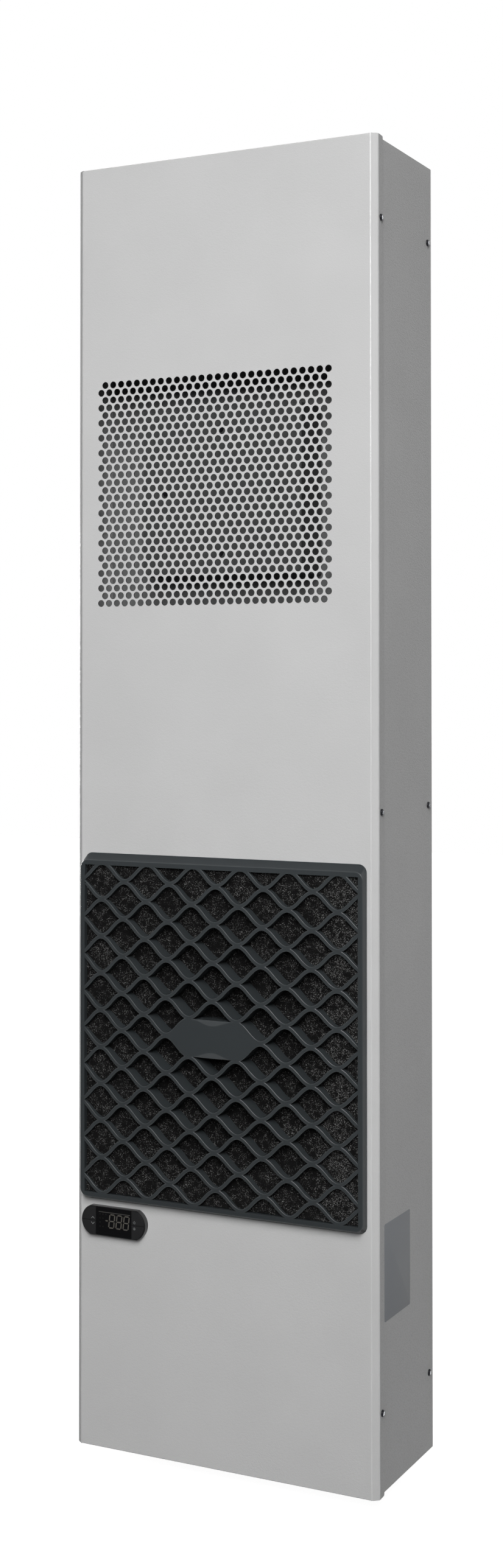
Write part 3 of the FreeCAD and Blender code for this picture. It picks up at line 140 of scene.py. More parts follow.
class GrilleSizes(bpy.types.PropertyGroup):
    """Sizes of the domed filter grille and the foam mat behind it."""

    wave_step: length("Wave step", "Half a wave of a rib", 31)
    wave_row: length("Wave row", "Between neighbouring ribs", 22.1)
    wave_meet: length("Wave meet", "Rib centre lines where two ribs meet", 1.9)
    rib: length("Rib", "Width of a rib seen from the front", 4.4)
    rib_edge: length("Rib edge", "Rounding of the rib's front edges", 0.7)
    rise: length("Rise", "Frame in front of the cover", 11.5)
    dome: length("Dome", "Bulge of the lattice beyond the frame", 13)
    hollow: length("Hollow", "How much shallower the ribs are at the frame", 9)
    slope: length("Slope", "Lean of the top face", 7.5)
    foot_slope: length("Foot slope", "Lean of the bottom face", 4.5)
    rim: length("Rim", "Frame round the lattice", 6.2)
    corner: length("Corner", "Radius of the frame corners", 10)
    edge: length("Edge", "Rounding of the frame's front edge", 1.0)
    tab_width: length("Tab width", "Locating tab", 24)
    tab_thickness: length("Tab thickness", "Locating tab", 3)
    tab_span: length("Tab span", "Between the tabs, left to right", 200)
    mat_gap: length("Mat gap", "Rib backs to the foam", 0.5)
    mat_relief: length("Mat relief", "Height of the foam's lumps", 0.35)


class ControlSizes(bpy.types.PropertyGroup):
    """Sizes of the controller, its window and its buttons."""

    end_radius: length("End radius", "Radius of the round ends", 18.6)
    end_trim: length("End trim", "Bezel drawn in at its ends", 1.1)
    right_trim: length("Right trim", "Bezel drawn in further at its right end", 2.2)
    rise_trim: length("Rise trim", "Bezel drawn in above and below", 1.2)
    window_trim: length("Window trim", "Window drawn in at its ends", 0.4)
    edge: length("Edge", "Rounding of the bezel", 0.8)
    button_edge: length("Button edge", "Rounding of a button", 0.5)
    button_rim: length("Button rim", "Bezel left round the buttons", 0.8)
    web: length("Web", "Half the gap between two buttons", 0.2)
    window_gap: length("Window gap", "Between a button and the window", 0.5)
    well: length("Well", "Depth of the button wells", 4.8)
    digit_height: length("Digit height", "Height of a digit between its bars", 15.8)
    digit_width: length("Digit width", "Width of a digit between its bars", 6.8)
    digit_step: length("Digit step", "From digit to digit", 9.9)
    digits_x: length("Digits, across", "Middle digit from the middle of the window", 7.5)
    digits_z: length("Digits, up", "Middle digit from the middle of the window", 1.4)
    stroke: length("Stroke", "Width of a segment", 1.4)
    slant: number("Slant", "Lean of the digits", 0.11)
    icon: length("Icon", "Size of an unlit sign beside the digits", 1.7)
    line_half: length("Line half", "Half the light line over the digits", 21.6)
    line_z: length("Line, up", "Light line from the middle of the window", 11.4)
    mark_gap: length("Mark gap", "Printed marks beside the window", 4.6)
    mark_rise: length("Mark rise", "Printed marks from the web between the buttons", 3.7)


class FastenerSizes(bpy.types.PropertyGroup):
    """Sizes of the pan head screws."""

    head_radius: length("Head radius", "Pan head", 4)
    shank_radius: length("Shank radius", "Thread", 2)
    cross_length: length("Cross length", "Arm of the cross recess", 2.2)
    cross_half: length("Cross half", "Half the width of an arm", 0.5)


class StageSizes(bpy.types.PropertyGroup):
    """Camera, lamps and floor."""

    lens: number("Lens", "Focal length in millimetres", 45.71)
    camera: place("Camera", "Place of the camera", (1.068, -2.264, 0.149))
    yaw: angle("Yaw", "Turn to the left", 26.75)
    pitch: angle("Pitch", "Tilt upwards", 0.96)
    shift_x: number("Shift across", "Lens shift", 0.0120)
    shift_y: number("Shift up", "Lens shift", -0.0867)
    key: place("Key lamp", "Place of the key lamp", (1.3, -3.3, 1.2))
    key_power: number("Key power", "Watts of the key lamp", 21.5)
    key_size: length("Key size", "Side of the key lamp", 1000)
    key_spread: angle("Key spread", "Angle that the key lamp lights", 110)
    high: place("High lamp", "Place of the high lamp", (2.0, -4.6, 4.2))
    high_power: number("High power", "Watts of the high lamp", 28.8)
    high_size: length("High size", "Side of the high lamp", 3200)
    high_spread: angle("High spread", "Angle that the high lamp lights", 45)
    back: place("Back lamp", "Place of the lamp behind the part", (-2.8, 2.6, 0.05))
    back_power: number("Back power", "Watts of the back lamp", 32.0)
    back_size: length("Back size", "Side of the back lamp", 1200)
    back_spread: angle("Back spread", "Angle that the back lamp lights", 110)
    aim: length("Aim", "Height that the lamps look at", 320)
    fill: number("Fill", "Strength of the light from all round", 0.015)
    floor_tone: number("Floor tone", "Share of light that the floor throws back", 0.12)
    floor_glow: number("Floor glow", "White that the floor shows of itself", 0.96)
    floor_near: length("Floor near", "Where the floor starts to fade", 1000)
    floor_far: length("Floor far", "Where the floor is plain white", 2500)


class Colours(bpy.types.PropertyGroup):
    """Base colours of the finishes."""

    paint: colour("Paint", "Light grey powder coat", (201, 201, 201))
    grille: colour("Grille", "Anthracite plastic", (54, 58, 60))
    foam: colour("Foam", "Black filter foam", (22, 22, 22))
    # Painted highlight: the foam's glints are painted into its colour
    glint_colour: colour("Speck", "Glints in the foam", (150, 150, 149))
    bezel: colour("Bezel", "Controller plastic", (36, 36, 37))
    digit: colour("Digit", "Unlit segments", (92, 89, 84))
    line: colour("Line", "Light line in the window", (74, 73, 71))
    icon: colour("Icon", "Unlit signs in the window", (27, 27, 27))
    mark: colour("Mark", "Printed marks", (138, 141, 141))
    zinc: colour("Zinc", "Galvanised sheet", (176, 179, 180))
    # Painted light: the dark primer and the grey coat behind the outlet are lightened to make up for the
    # shade they lie in, the shelf most
    primer: colour("Primer", "Dark primed sheet behind the outlet", (84, 85, 85))
    shelf: colour("Shelf", "Grey coated sheet behind the outlet", (130, 131, 131))
    # Painted reflection: the screw head is darkened to stand for the dark surroundings that its shiny steel
    # mirrors
    screw: colour("Screw", "Dark screw steel", (40, 40, 43))
    # Partly painted shade: the dull dark cut edge also stands for the shade inside the punched holes
    cut: colour("Cut", "Dull cut edge of a punched hole", (62, 63, 64))
    # Painted highlight: the recess is made bright to stand for the light that the shiny head catches there
    recess: colour("Recess", "Bright steel in a screw's recess", (214, 215, 218))
    copper: colour("Copper", "Copper tube", (196, 120, 82))
    fins: colour("Fins", "Aluminium fins", (190, 193, 195))
    fan: colour("Fan", "Black fan plastic", (33, 34, 36))
    motor: colour("Motor", "Black enamel", (28, 28, 30))
    rubber: colour("Rubber", "Black sealing rubber", (30, 30, 30))
    board: colour("Board", "Green circuit board", (28, 84, 46))
    drain: colour("Drain", "Grey drain plastic", (150, 152, 150))
    electric: colour("Electric", "Pale connector plastic", (196, 192, 180))
    label: colour("Label", "Bare sticker", (144, 147, 151))


def pair(across, up):
    """Two arrays as points across and up."""
    return np.stack([across, up], axis=-1)


def spokes(turn):
    """Points on a circle of radius one."""
    return pair(np.cos(turn), np.sin(turn))


def quarter_round(radius, steps=4):
    """How far a quarter circle lies behind its wall and behind its face, from the wall to the face."""
    turn = np.linspace(0, math.pi / 2, steps + 1)
    return list(zip(radius * (1 - np.cos(turn)), radius * (1 - np.sin(turn))))


def quads(rows, columns, closed=False):
    """Corner numbers of a grid's four-sided faces; a closed grid joins its last column to its first."""
    index = np.arange(rows * columns).reshape(rows, columns)
    if closed:
        index = np.concatenate([index, index[:, :1]], axis=1)
    corners = [index[:-1, :-1], index[:-1, 1:], index[1:, 1:], index[1:, :-1]]
    return np.stack(corners, axis=-1).reshape(-1, 4)


class Surface:
    """Points and faces of one piece, gathered patch by patch."""

    def __init__(self, *tubes):
        self.points = []
        self.faces = []
        self.finishes = []
        self.total = 0
        for loops in tubes:
            self.tube(loops)

    def patch(self, points, faces, finish=0):
        """Add points, and faces counted from the patch's first point, in one finish or one for each face."""
        points = np.asarray(points, float).reshape(-1, 3)
        self.points.append(points)
        self.faces += (np.asarray(faces) + self.total).tolist()
        self.finishes += np.broadcast_to(finish, len(faces)).tolist()
        self.total += len(points)

    def grid(self, points, closed=False, finish=0):
        """Rows and columns of points, joined by four-sided faces."""
        points = np.asarray(points)
        self.patch(points, quads(*points.shape[:2], closed), finish)

    def face(self, points, finish=0):
        """One flat face with any number of corners."""
        self.patch(points, [np.arange(len(points))], finish)

    def plate(self, outline, depth, finish=0):
        """A flat outline given depth towards the back."""
        self.tube([np.asarray(outline) + (0, depth, 0), outline], finish)

    def tube(self, loops, finish=0):
        """Closed loops carried from the first to the last, with a flat face at both ends."""
        self.grid(loops, closed=True, finish=finish)
        self.face(loops[0][::-1], finish)
        self.face(loops[-1], finish)


def make_piece(name, surface, coats, body, nodes=(), outwards=True, crease=math.radians(35)):
    """Turn a surface into an object that rides on a body and stands for CAD nodes."""
    mesh = bpy.data.meshes.new(name)
    mesh.from_pydata(np.concatenate(surface.points), [], surface.faces)
    mesh.polygons.foreach_set("material_index", np.array(surface.finishes, np.int32))
    shape = bmesh.new()
    shape.from_mesh(mesh)
    bmesh.ops.remove_doubles(shape, verts=shape.verts, dist=MERGE)
    if outwards:
        bmesh.ops.dissolve_degenerate(shape, edges=shape.edges, dist=MERGE)
        loose = [edge for edge in shape.edges if not edge.link_faces]
        bmesh.ops.delete(shape, geom=loose, context="EDGES")
        bmesh.ops.recalc_face_normals(shape, faces=shape.faces)
    shape.to_mesh(mesh)
    shape.free()
    for coat in coats:
        mesh.materials.append(getattr(finishes(), coat))
    if crease:
        mesh.shade_smooth()
        mesh.set_sharp_from_angle(angle=crease)
    piece = bpy.data.objects.new(name, mesh)
    bpy.context.scene.collection.objects.link(piece)
    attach(piece, body)
    if nodes:
        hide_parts(*nodes)
    return piece


def upright(flat, y):
    """Points given across and up, set at a depth y."""
    flat = np.asarray(flat, float)
    depth = np.broadcast_to(y, flat.shape[:-1])
    return np.stack([flat[..., 0], depth, flat[..., 1]], axis=-1)


def eased(line, radius, steps):
    """Round the inner corners of a flat line.

    The tangent points lie radius times the tangent of half the turn from the corner, and the arc between
    them turns evenly about a centre on the corner's bisector.
    """
    parts = [line[:1]]
    for before, corner, after in zip(line, line[1:], line[2:]):
        back = (before - corner) / np.linalg.norm(before - corner)
        ahead = (after - corner) / np.linalg.norm(after - corner)
        turn = math.pi - math.acos(np.clip(back @ ahead, -1, 1))
        reach = radius * math.tan(turn / 2)
        middle = (back + ahead) / np.linalg.norm(back + ahead)
        centre = corner + middle * radius / math.cos(turn / 2)
        share = np.linspace(0, 1, steps + 1)[:, None]
        start = np.sin((1 - share) * turn) * (corner + back * reach - centre)
        end = np.sin(share * turn) * (corner + ahead * reach - centre)
        parts.append(centre + (start + end) / math.sin(turn))
    return np.concatenate(parts + [line[-1:]])


def rounded_loop(half_x, half_z, radius, steps=6, along=1):
    """A rectangle with round corners: four quarter arcs joined by straight runs of evenly spaced points."""
    swing = np.linspace(0, math.pi / 2, steps + 1)
    arcs = []
    for quarter, (side, end) in enumerate(((1, 1), (-1, 1), (-1, -1), (1, -1))):
        centre = np.array([side * (half_x - radius), end * (half_z - radius)])
        arcs.append(centre + radius * spokes(swing + quarter * math.pi / 2))
    parts = []
    for quarter, arc in enumerate(arcs):
        share = np.linspace(0, 1, along + 1)[1:-1, None]
        parts += [arc, arc[-1] + share * (arcs[(quarter + 1) % 4][0] - arc[-1])]
    return np.concatenate(parts)


def outlet_field(surface, cover, front):
    """Rows of holes, every second row moved half a step, each hole in a brick of sheet.

    A brick's edge runs round in quarter steps and the hole's edge in sixteenths of a turn, so corner k of
    the brick joins corner k of the hole. Half bricks fill the ends of the rows.
    """
    row = np.arange(cover.rows)
    column = np.arange(cover.columns)
    step = np.array([cover.hole_step, cover.row_step]) / 4
    shift = np.where(row % 2 == 0, step[0], -step[0])
    across = cover.field_x + shift[:, None] + cover.hole_step * (column - (cover.columns - 1) / 2)
    up = cover.field_z + cover.row_step * ((cover.rows - 1) / 2 - row)
    centres = pair(across, np.broadcast_to(up[:, None], across.shape)).reshape(-1, 1, 2)
    corner = np.arange(HOLE_CORNERS)
    wave = np.clip(4 - np.abs((corner + 8) % HOLE_CORNERS - 8), -2, 2)
    brick = pair(wave, np.roll(wave, 4)) * step
    hole = cover.hole_radius * spokes(2 * math.pi * corner / HOLE_CORNERS)
    points = centres + np.concatenate([brick, hole])
    after = (corner + 1) % HOLE_CORNERS
    ring = np.stack([corner, after, after + HOLE_CORNERS, corner + HOLE_CORNERS], axis=-1)
    faces = ring + np.arange(len(centres))[:, None, None] * 2 * HOLE_CORNERS
    surface.patch(upright(points, front), faces.reshape(-1, 4), finish=PUNCHED)
    half_x = np.array([1, 1, 1, 0, -1, -1, -1, -1, -1, 0, 1, 1])
    half_z = np.array([0, 1, 2, 2, 2, 1, 0, -1, -2, -2, -2, -1])
    side = np.where(row % 2 == 0, -1, 1)
    middle = cover.field_x + side * cover.hole_step * cover.columns / 2
    fill = pair(middle, up)[:, None] + pair(half_x, half_z) * step
    faces = np.arange(fill.shape[0] * fill.shape[1]).reshape(fill.shape[:2])
    surface.patch(upright(fill, front), faces)


def full_band(below, above, edge):
    """A band of the front from edge to edge, between the points of the lines below and above it."""
    foot = below[0][1]
    head = above[0][1]
    return [(-edge, foot), *below, (edge, foot), (edge, head), *above[::-1], (-edge, head)]


def cover_surface(cover):
    """The cover's outer face: a flat front in bands round its openings, and folded edges.

    The long edges are one profile of bevel and return carried up the cover, the ends one fold carried
    across it. Sheet thickness is added inwards afterwards. Finish 0 is for the sheet, finish 1 for the long
    folds, where the coat is stretched smooth, and PUNCHED for the field, whose hole walls take a dark cut
    edge, partly a bare edge and partly painted shade inside the holes.
    """
    low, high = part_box("front_cover")
    grille_low, grille_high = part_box("filter_grille")
    body_low, body_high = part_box("controller_board")
    surface = Surface()
    front = low.y
    outlet_field(surface, cover, front)
    corner = (high.x, front + cover.bevel_depth)
    bevel = np.array([(0, front), (cover.flat_half, front), corner, (high.x - cover.lean, high.y)])
    profile = eased(bevel, cover.fold, FOLD_STEPS)[1:]
    edge = profile[0, 0]
    top = high.z
    plate = top - cover.end_fold
    field_half = cover.hole_step * (cover.columns / 2 + 0.25)
    field_rise = cover.row_step * cover.rows / 2
    wall = 2.2 * MM
    field = (
        np.linspace(cover.field_x - field_half, cover.field_x + field_half, 4 * cover.columns + 3),
        np.linspace(cover.field_z - field_rise, cover.field_z + field_rise, 4 * cover.rows + 1),
    )
    middle = (grille_low.z + grille_high.z) / 2
    rise = cover.window_rise
    window = ((-cover.window_half, cover.window_half), (middle - rise, middle + rise))
    cut = ((body_low.x - wall, body_high.x + wall), (body_low.z - wall, body_high.z + wall))
    openings = (field, window, cut)
    notch = edge - cover.relief
    notches = (-notch, notch)
    above = [(x, plate) for x in notches]
    for across, up in openings:
        foot, head = up[0], up[-1]
        below = [(x, head) for x in across]
        surface.face(upright(full_band(below, above, edge), front))
        surface.face(upright([(-edge, foot), *((across[0], z) for z in up), (-edge, head)], front))
        surface.face(upright([(edge, foot), (edge, head), *((across[-1], z) for z in up[::-1])], front))
        above = [(x, foot) for x in across]
    surface.face(upright(full_band([(x, -plate) for x in notches], above, edge), front))
    ends = top - np.array([behind for inset, behind in quarter_round(cover.corner)])
    joints = [z for across, up in openings for z in (up[0], up[-1])]
    levels = np.unique(np.concatenate([joints, (plate, -plate), ends, -ends]))
    over = np.maximum(np.abs(levels) - (top - cover.corner), 0)
    trim = cover.corner - np.sqrt(np.maximum(cover.corner ** 2 - over ** 2, 0))
    strip = np.empty((len(levels), len(profile), 3))
    strip[..., 0] = profile[:, 0]
    strip[..., 1] = profile[:, 1]
    strip[:, -1, 1] -= trim
    strip[..., 2] = levels[:, None]
    # Along the profile a fold and a flat take turns
    stations = (0, FOLD_STEPS, FOLD_STEPS + 1, 2 * FOLD_STEPS + 1, 2 * FOLD_STEPS + 2)
    for count, (start, end) in enumerate(zip(stations, stations[1:])):
        part = strip[:, start:end + 1]
        finish = (count + 1) % 2
        surface.grid(part, finish=finish)
        surface.grid(part[:, ::-1] * (-1, 1, 1), finish=finish)
    fold = eased(np.array([[front, 0], [front, top], [high.y, top]]), cover.end_fold, FOLD_STEPS)[1:]
    lip = np.empty((len(fold), 2, 3))
    lip[..., 0] = notches
    lip[..., 1] = fold[:, :1]
    lip[..., 2] = fold[:, 1:]
    surface.grid(lip)
    surface.grid(lip[::-1] * (1, 1, -1))
    return surface


class GrilleShape:
    """The domed front and hollow back of the grille, and the outline of one opening."""

    def __init__(self, grille):
        low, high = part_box("filter_grille")
        mat_low, mat_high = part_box("filter_mat")
        self.grille = grille
        self.half_x = high.x
        self.base_z = (high.z - low.z) / 2
        self.crest_z = self.base_z - grille.slope
        self.sag = (grille.slope - grille.foot_slope) / 2
        self.window_x = self.half_x - grille.rim
        self.window_z = self.crest_z - grille.rim
        self.window_foot = self.window_z + 2 * self.sag
        self.middle = (high.z + low.z) / 2
        self.back = mat_low.y
        self.face = self.back - grille.rise
        self.tab_end = high.y
        self.swing = (grille.wave_row - grille.wave_meet) / 2

    def bulge(self, flat):
        """One in the middle and nothing at the frame: the product of a parabola across and a parabola up."""
        return (1 - (flat[..., 0] / self.half_x) ** 2) * (1 - (flat[..., 1] / self.crest_z) ** 2)

    def front(self, flat):
        """Depth of the front: the frame's face, brought forward by the dome's height times the bulge."""
        return self.face - self.grille.dome * self.bulge(flat)

    def rear(self, flat):
        """Depth of the rib backs: the back, brought forward by the hollow times one less the bulge."""
        return self.back - self.grille.hollow * (1 - self.bulge(flat))

    def place(self, flat, y):
        """Points about the grille's middle, set at their depth in the part."""
        return upright(flat, y) + (0, 0, self.middle)

    def lowered(self, half_x, half_z, radius, steps, along):
        """A round-cornered loop that reaches further down than up, as the bottom face leans less."""
        return rounded_loop(half_x, half_z + self.sag, radius, steps, along) - (0, self.sag)

    def rib_line(self, x):
        """Centre line of a rib above an opening's middle: a cosine of the distance across."""
        return self.grille.wave_row / 2 + self.swing * np.cos(math.pi * x / self.grille.wave_step)

    def opening_edge(self, x):
        """The centre line less half a rib, measured square to the line's slope."""
        rate = math.pi / self.grille.wave_step
        slope = self.swing * rate * np.sin(rate * x)
        return self.rib_line(x) - self.grille.rib / 2 * np.hypot(1, slope)

    def loops(self, steps):
        """The rib lines round a cell and the edge of its opening, point for point, about its middle."""
        samples = 400
        fine = np.linspace(0, self.grille.wave_step, samples)
        reach = np.interp(0, -self.opening_edge(fine), fine)
        share = np.linspace(-1, 1, 2 * steps + 1)
        wide = share * self.grille.wave_step
        narrow = share * reach
        above = pair(wide, self.rib_line(wide))
        inside = pair(narrow, np.maximum(self.opening_edge(narrow), 0))
        turned = (1, -1)
        outer = np.concatenate([above, above[::-1] * turned])
        inner = np.concatenate([inside, inside[::-1] * turned])
        return outer, inner


def lattice(surface, shape, steps=10):
    """All cells of the lattice as one array: cells, levels from rib line to opening and back, corners.

    Cells lie where column plus row is odd. The front levels run from the rib line over a rounded edge, the
    wall falls to the hollow back, and the last level returns to the rib line. Points beyond the window are
    moved to its edge. The two cells and two half cells of the middle are closed as a bare plate.
    """
    grille = shape.grille
    outer, inner = shape.loops(steps)
    columns = math.ceil(shape.window_x / grille.wave_step)
    rows = math.ceil(shape.window_z / grille.wave_row)
    column, row = np.meshgrid(np.arange(-columns, columns + 1), np.arange(-rows, rows + 1))
    chosen = (column + row) % 2 == 1
    column = column[chosen]
    row = row[chosen]
    middle = pair(column * grille.wave_step, row * grille.wave_row)[:, None]
    closed = (np.abs(column) == 1) & (row == 0)
    least = np.array([-shape.window_x, -shape.window_foot])
    most = np.array([shape.window_x, shape.window_z])
    outer = np.clip(middle + outer, least, most)
    inner = np.where(closed[:, None, None], middle, middle + inner)
    inner = np.clip(inner, least, most)
    above = (column == 0) & (row == 1)
    below = (column == 0) & (row == -1)
    inner[above, :, 1] = np.maximum(inner[above, :, 1], grille.wave_row)
    inner[below, :, 1] = np.minimum(inner[below, :, 1], -grille.wave_row)
    turn = np.radians([0, 22, 45, 67, 90])
    edge = 1 - grille.rib_edge / (grille.rib / 2) * (1 - np.sin(turn))
    share = np.concatenate([[0], edge, [1, 0]])[:, None, None]
    sink = np.concatenate([[0], 1 - np.cos(turn), [0, 0]])[:, None] * grille.rib_edge
    flat = outer[:, None] + share * (inner - outer)[:, None]
    sink = sink * ~closed[:, None, None]
    ahead = np.arange(len(share))[:, None] <= len(turn)
    depth = np.where(ahead, shape.front(flat) + sink, shape.rear(flat))
    points = shape.place(flat, depth)
    count, levels, corners = points.shape[:3]
    faces = quads(levels, corners, closed=True) + np.arange(count)[:, None, None] * levels * corners
    level = np.arange(levels - 1)
    rounded = ((level > 0) & (level < len(turn))) & ~closed[:, None]
    surface.patch(points, faces.reshape(-1, 4), np.repeat(rounded.astype(int), corners))


def grille_frame(surface, shape):
    """The frame as round-cornered loops carried from the lattice over the front edge to the back.

    Finish 1 is for the round edge and the upright walls, which are glossier.
    """
    grille = shape.grille
    steps, along = 8, 60
    window = shape.lowered(shape.window_x, shape.window_z, 0, steps, along)
    loops = [shape.place(window, shape.front(window))]
    for drop, inset in quarter_round(grille.edge):
        loop = shape.lowered(shape.half_x - inset, shape.crest_z - inset, grille.corner - inset, steps, along)
        loops.append(shape.place(loop, shape.front(loop) + drop))
    base = rounded_loop(shape.half_x, shape.base_z, grille.corner, steps, along)
    loops.append(shape.place(base, shape.back))
    loops.append(shape.place(window, shape.back))
    loops.append(shape.place(window, shape.rear(window)))
    sideways = np.abs(base[:, 0]) > shape.half_x - grille.corner / 4
    surface.grid(loops[:2], closed=True)
    surface.grid(loops[1:-3], closed=True, finish=1)
    surface.grid(loops[-4:-2], closed=True, finish=sideways.astype(int))
    surface.grid(loops[-3:], closed=True)


def grille_tabs(surface, shape, window_rise):
    """Four locating tabs: a flat bar with round corners carried back from the frame, narrowed at its end."""
    grille = shape.grille
    gap = 0.4 * MM
    root = 2 * MM
    taper = 1.5 * MM
    narrowed = 0.8 * MM
    corner = 0.6 * MM
    half = np.array([grille.tab_width, grille.tab_thickness]) / 2
    stations = ((shape.back - root, 0), (shape.tab_end - taper, 0), (shape.tab_end, narrowed))
    for x in (-grille.tab_span / 2, grille.tab_span / 2):
        for end in (-1, 1):
            z = end * (window_rise - gap - half[1])
            surface.tube([
                shape.place(rounded_loop(*(half - inset), corner) + (x, z), y) for y, inset in stations
            ])


def mat_surface(shape):
    """The foam mat: a lumpy front along the rib backs, a ledge over the cover and a core behind."""
    grille = shape.grille
    mat_low, mat_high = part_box("filter_mat")
    mat_half = np.array([mat_high.x, (mat_high.z - mat_low.z) / 2])
    clear = 0.8 * MM
    columns, rows, seed = 121, 131, 7
    across = np.linspace(-shape.window_x + clear, shape.window_x - clear, columns)
    up = np.linspace(-shape.window_foot + clear, shape.window_z - clear, rows)
    flat = np.stack(np.meshgrid(across, up), axis=-1)
    lumps = np.random.default_rng(seed).normal(size=flat.shape[:2])
    spread = sum(np.roll(lumps, move, axis) for move in (-1, 0, 1) for axis in (0, 1)) / 6
    front = shape.rear(flat) + grille.mat_gap + grille.mat_relief * (1 + np.clip(spread, -1, 1))
    surface = Surface()
    surface.grid(shape.place(flat, front))
    border = np.concatenate([flat[0], flat[1:, -1], flat[-1, -2::-1], flat[-2:0:-1, 0]])
    depth = np.concatenate([front[0], front[1:, -1], front[-1, -2::-1], front[-2:0:-1, 0]])
    core = np.clip(border * (mat_high.x / across[-1], 1), -mat_half, mat_half)
    ledge = shape.back - 0.4 * MM
    loops = [
        shape.place(border, depth),
        shape.place(border, ledge),
        shape.place(core, ledge),
        shape.place(core, mat_high.y),
    ]
    surface.grid(loops, closed=True)
    surface.face(loops[-1])
    return surface


def screw_loops(fasteners):
    """One screw about its own axis, from the thread's end over a domed head into a cross recess.

    Round loops come first. The recess is a cross whose edge lies where either an arm's end or its side is
    reached, drawn in towards the floor. Columns are height, and two lengths square to the axis. The second
    value counts the round loops.
    """
    half = fasteners.cross_half
    arm = fasteners.cross_length
    tip = math.atan2(half, arm)
    quarter = np.array([0, tip / 2, tip, math.pi / 8 + tip / 2, math.pi / 4])
    quarter = np.concatenate([quarter, math.pi / 2 - quarter[3:0:-1]])
    around = (quarter + np.arange(4)[:, None] * math.pi / 2).ravel()
    cosine = np.abs(np.cos(around))
    sine = np.abs(np.sin(around))
    longer = np.maximum(cosine, sine)
    shorter = np.maximum(np.minimum(cosine, sine), 1e-9)
    cross = np.minimum(arm / longer, half / shorter)
    head = fasteners.head_radius
    shank = fasteners.shank_radius
    thread = ((shank, -9), (shank, 0), (head, 0), (head, 0.9))
    dome = ((0.95 * head, 1.35), (0.82 * head, 1.8), (0.66 * head, 2.1))
    recess = ((1.0 * cross, 2.15), (0.92 * cross, 2.0), (0.6 * cross, 0.9), (0.15 * cross, 0.7))
    levels = thread + dome + recess
    radii = np.stack([np.broadcast_to(radius, around.shape) for radius, height in levels])
    heights = np.broadcast_to(np.array([[height * MM] for radius, height in levels]), radii.shape)
    loops = np.stack([heights, radii * np.cos(around), radii * np.sin(around)], axis=-1)
    return loops, len(thread + dome)


def screw_surface(fasteners, node, sink):
    """Six screws on the two sides of the part, three up each side, heads outwards and set in by a sink.

    Finish 0 is for the head, dark as a painted reflection of dark surroundings, and finish 1 for the recess
    and the top of the dome round it, bright as a painted highlight.
    """
    low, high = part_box(node)
    surface = Surface()
    loops, crown = screw_loops(fasteners)
    head_rise = 2.4 * MM
    head_half = 4 * MM
    base = high.x - head_rise - sink
    y = (low.y + high.y) / 2
    first, by_level, by_side = 0.4, 1.1, 0.5
    for count, z in enumerate((low.z + head_half, 0, high.z - head_half)):
        for side in (-1, 1):
            turn = first + by_level * count + by_side * side
            spun = loops.copy()
            cosine, sine = math.cos(turn), math.sin(turn)
            spun[..., 1:] = loops[..., 1:] @ np.array([(cosine, sine), (-sine, cosine)])
            placed = (spun + (base, y, z)) * (side, 1, 1)
            surface.grid(placed[: crown + 1], closed=True)
            surface.face(placed[0][::-1])
            surface.grid(placed[crown:], closed=True, finish=1)
            surface.face(placed[-1], finish=1)
    return surface


class ControlShape:
    """Outline of the controller: flat above and below with round ends, drawn in by an inset."""

    def __init__(self, control):
        low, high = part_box("controller_housing")
        window_low, window_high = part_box("controller_window")
        self.control = control
        self.x = (low.x + high.x) / 2
        self.z = (low.z + high.z) / 2
        self.half_x = (high.x - low.x) / 2 - control.end_trim
        self.half_z = (high.z - low.z) / 2 - control.rise_trim
        self.face = low.y
        self.window_half = (window_high.x - window_low.x) / 2 - control.window_trim

    def end_line(self, up, inset):
        """How far out the round end reaches at a height: a circle about a point near the end."""
        radius = self.control.end_radius - inset
        return self.half_x - self.control.end_radius + np.sqrt(np.maximum(radius ** 2 - up ** 2, 0))

    def outline(self, inset, steps=14):
        """The whole bezel: up the right end, which is drawn in, and down the left end."""
        rise = self.half_z - inset
        up = rise * np.sin(np.linspace(-math.pi / 2, math.pi / 2, 2 * steps + 1))
        right = pair(self.end_line(up, inset), up)
        return np.concatenate([right - (self.control.right_trim, 0), -right])

    def lobe(self, inset, side, end, steps=10):
        """A button: a quarter of the outline, between the window, the web and the round end."""
        inset_all = inset + self.control.button_rim
        web = self.control.web + inset
        inside = self.window_half + self.control.window_gap + inset
        up = np.linspace(web, self.half_z - inset_all, 2 * steps + 1)
        reach = self.end_line(up, inset_all) - self.control.right_trim * (side > 0)
        curve = pair(np.maximum(reach, inside), up)
        back = pair(np.full(len(up), inside), up[::-1])
        return np.concatenate([curve, back]) * (side, end)

    def place(self, flat, y):
        """Points about the controller's middle, set at their depth in the part."""
        return upright(flat, y) + (self.x, 0, self.z)


def housing_surface(shape):
    """The controller's case: its outline carried forward over a round edge, then down into the wells.

    Finish 0 is for the face and finish 1 for the glossier wall round it.
    """
    control = shape.control
    low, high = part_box("controller_housing")
    cover_low, cover_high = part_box("front_cover")
    crest = control.button_rim - 0.3 * MM
    mouth = control.button_rim - 0.25 * MM
    chamfer = 0.1 * MM
    loops = [shape.place(shape.outline(0), cover_low.y)]
    for inset, drop in quarter_round(control.edge):
        loops.append(shape.place(shape.outline(min(inset, crest)), shape.face + drop))
    inner = shape.outline(mouth)
    loops.append(shape.place(inner, shape.face + chamfer))
    loops.append(shape.place(inner, shape.face + control.well))
    surface = Surface()
    surface.grid(loops[:2], closed=True, finish=1)
    surface.grid(loops[1:], closed=True)
    surface.face(loops[0][::-1])
    surface.face(loops[-1])
    body_low, body_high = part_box("controller_board")
    wall = 2 * MM
    half = np.array([(body_high.x - body_low.x) / 2 + wall, (body_high.z - body_low.z) / 2 + wall])
    centre = ((body_low.x + body_high.x) / 2, 0, (body_low.z + body_high.z) / 2)
    surface.tube([upright(rounded_loop(*half, MM), y) + centre for y in (cover_low.y - MM, high.y)])
    return surface


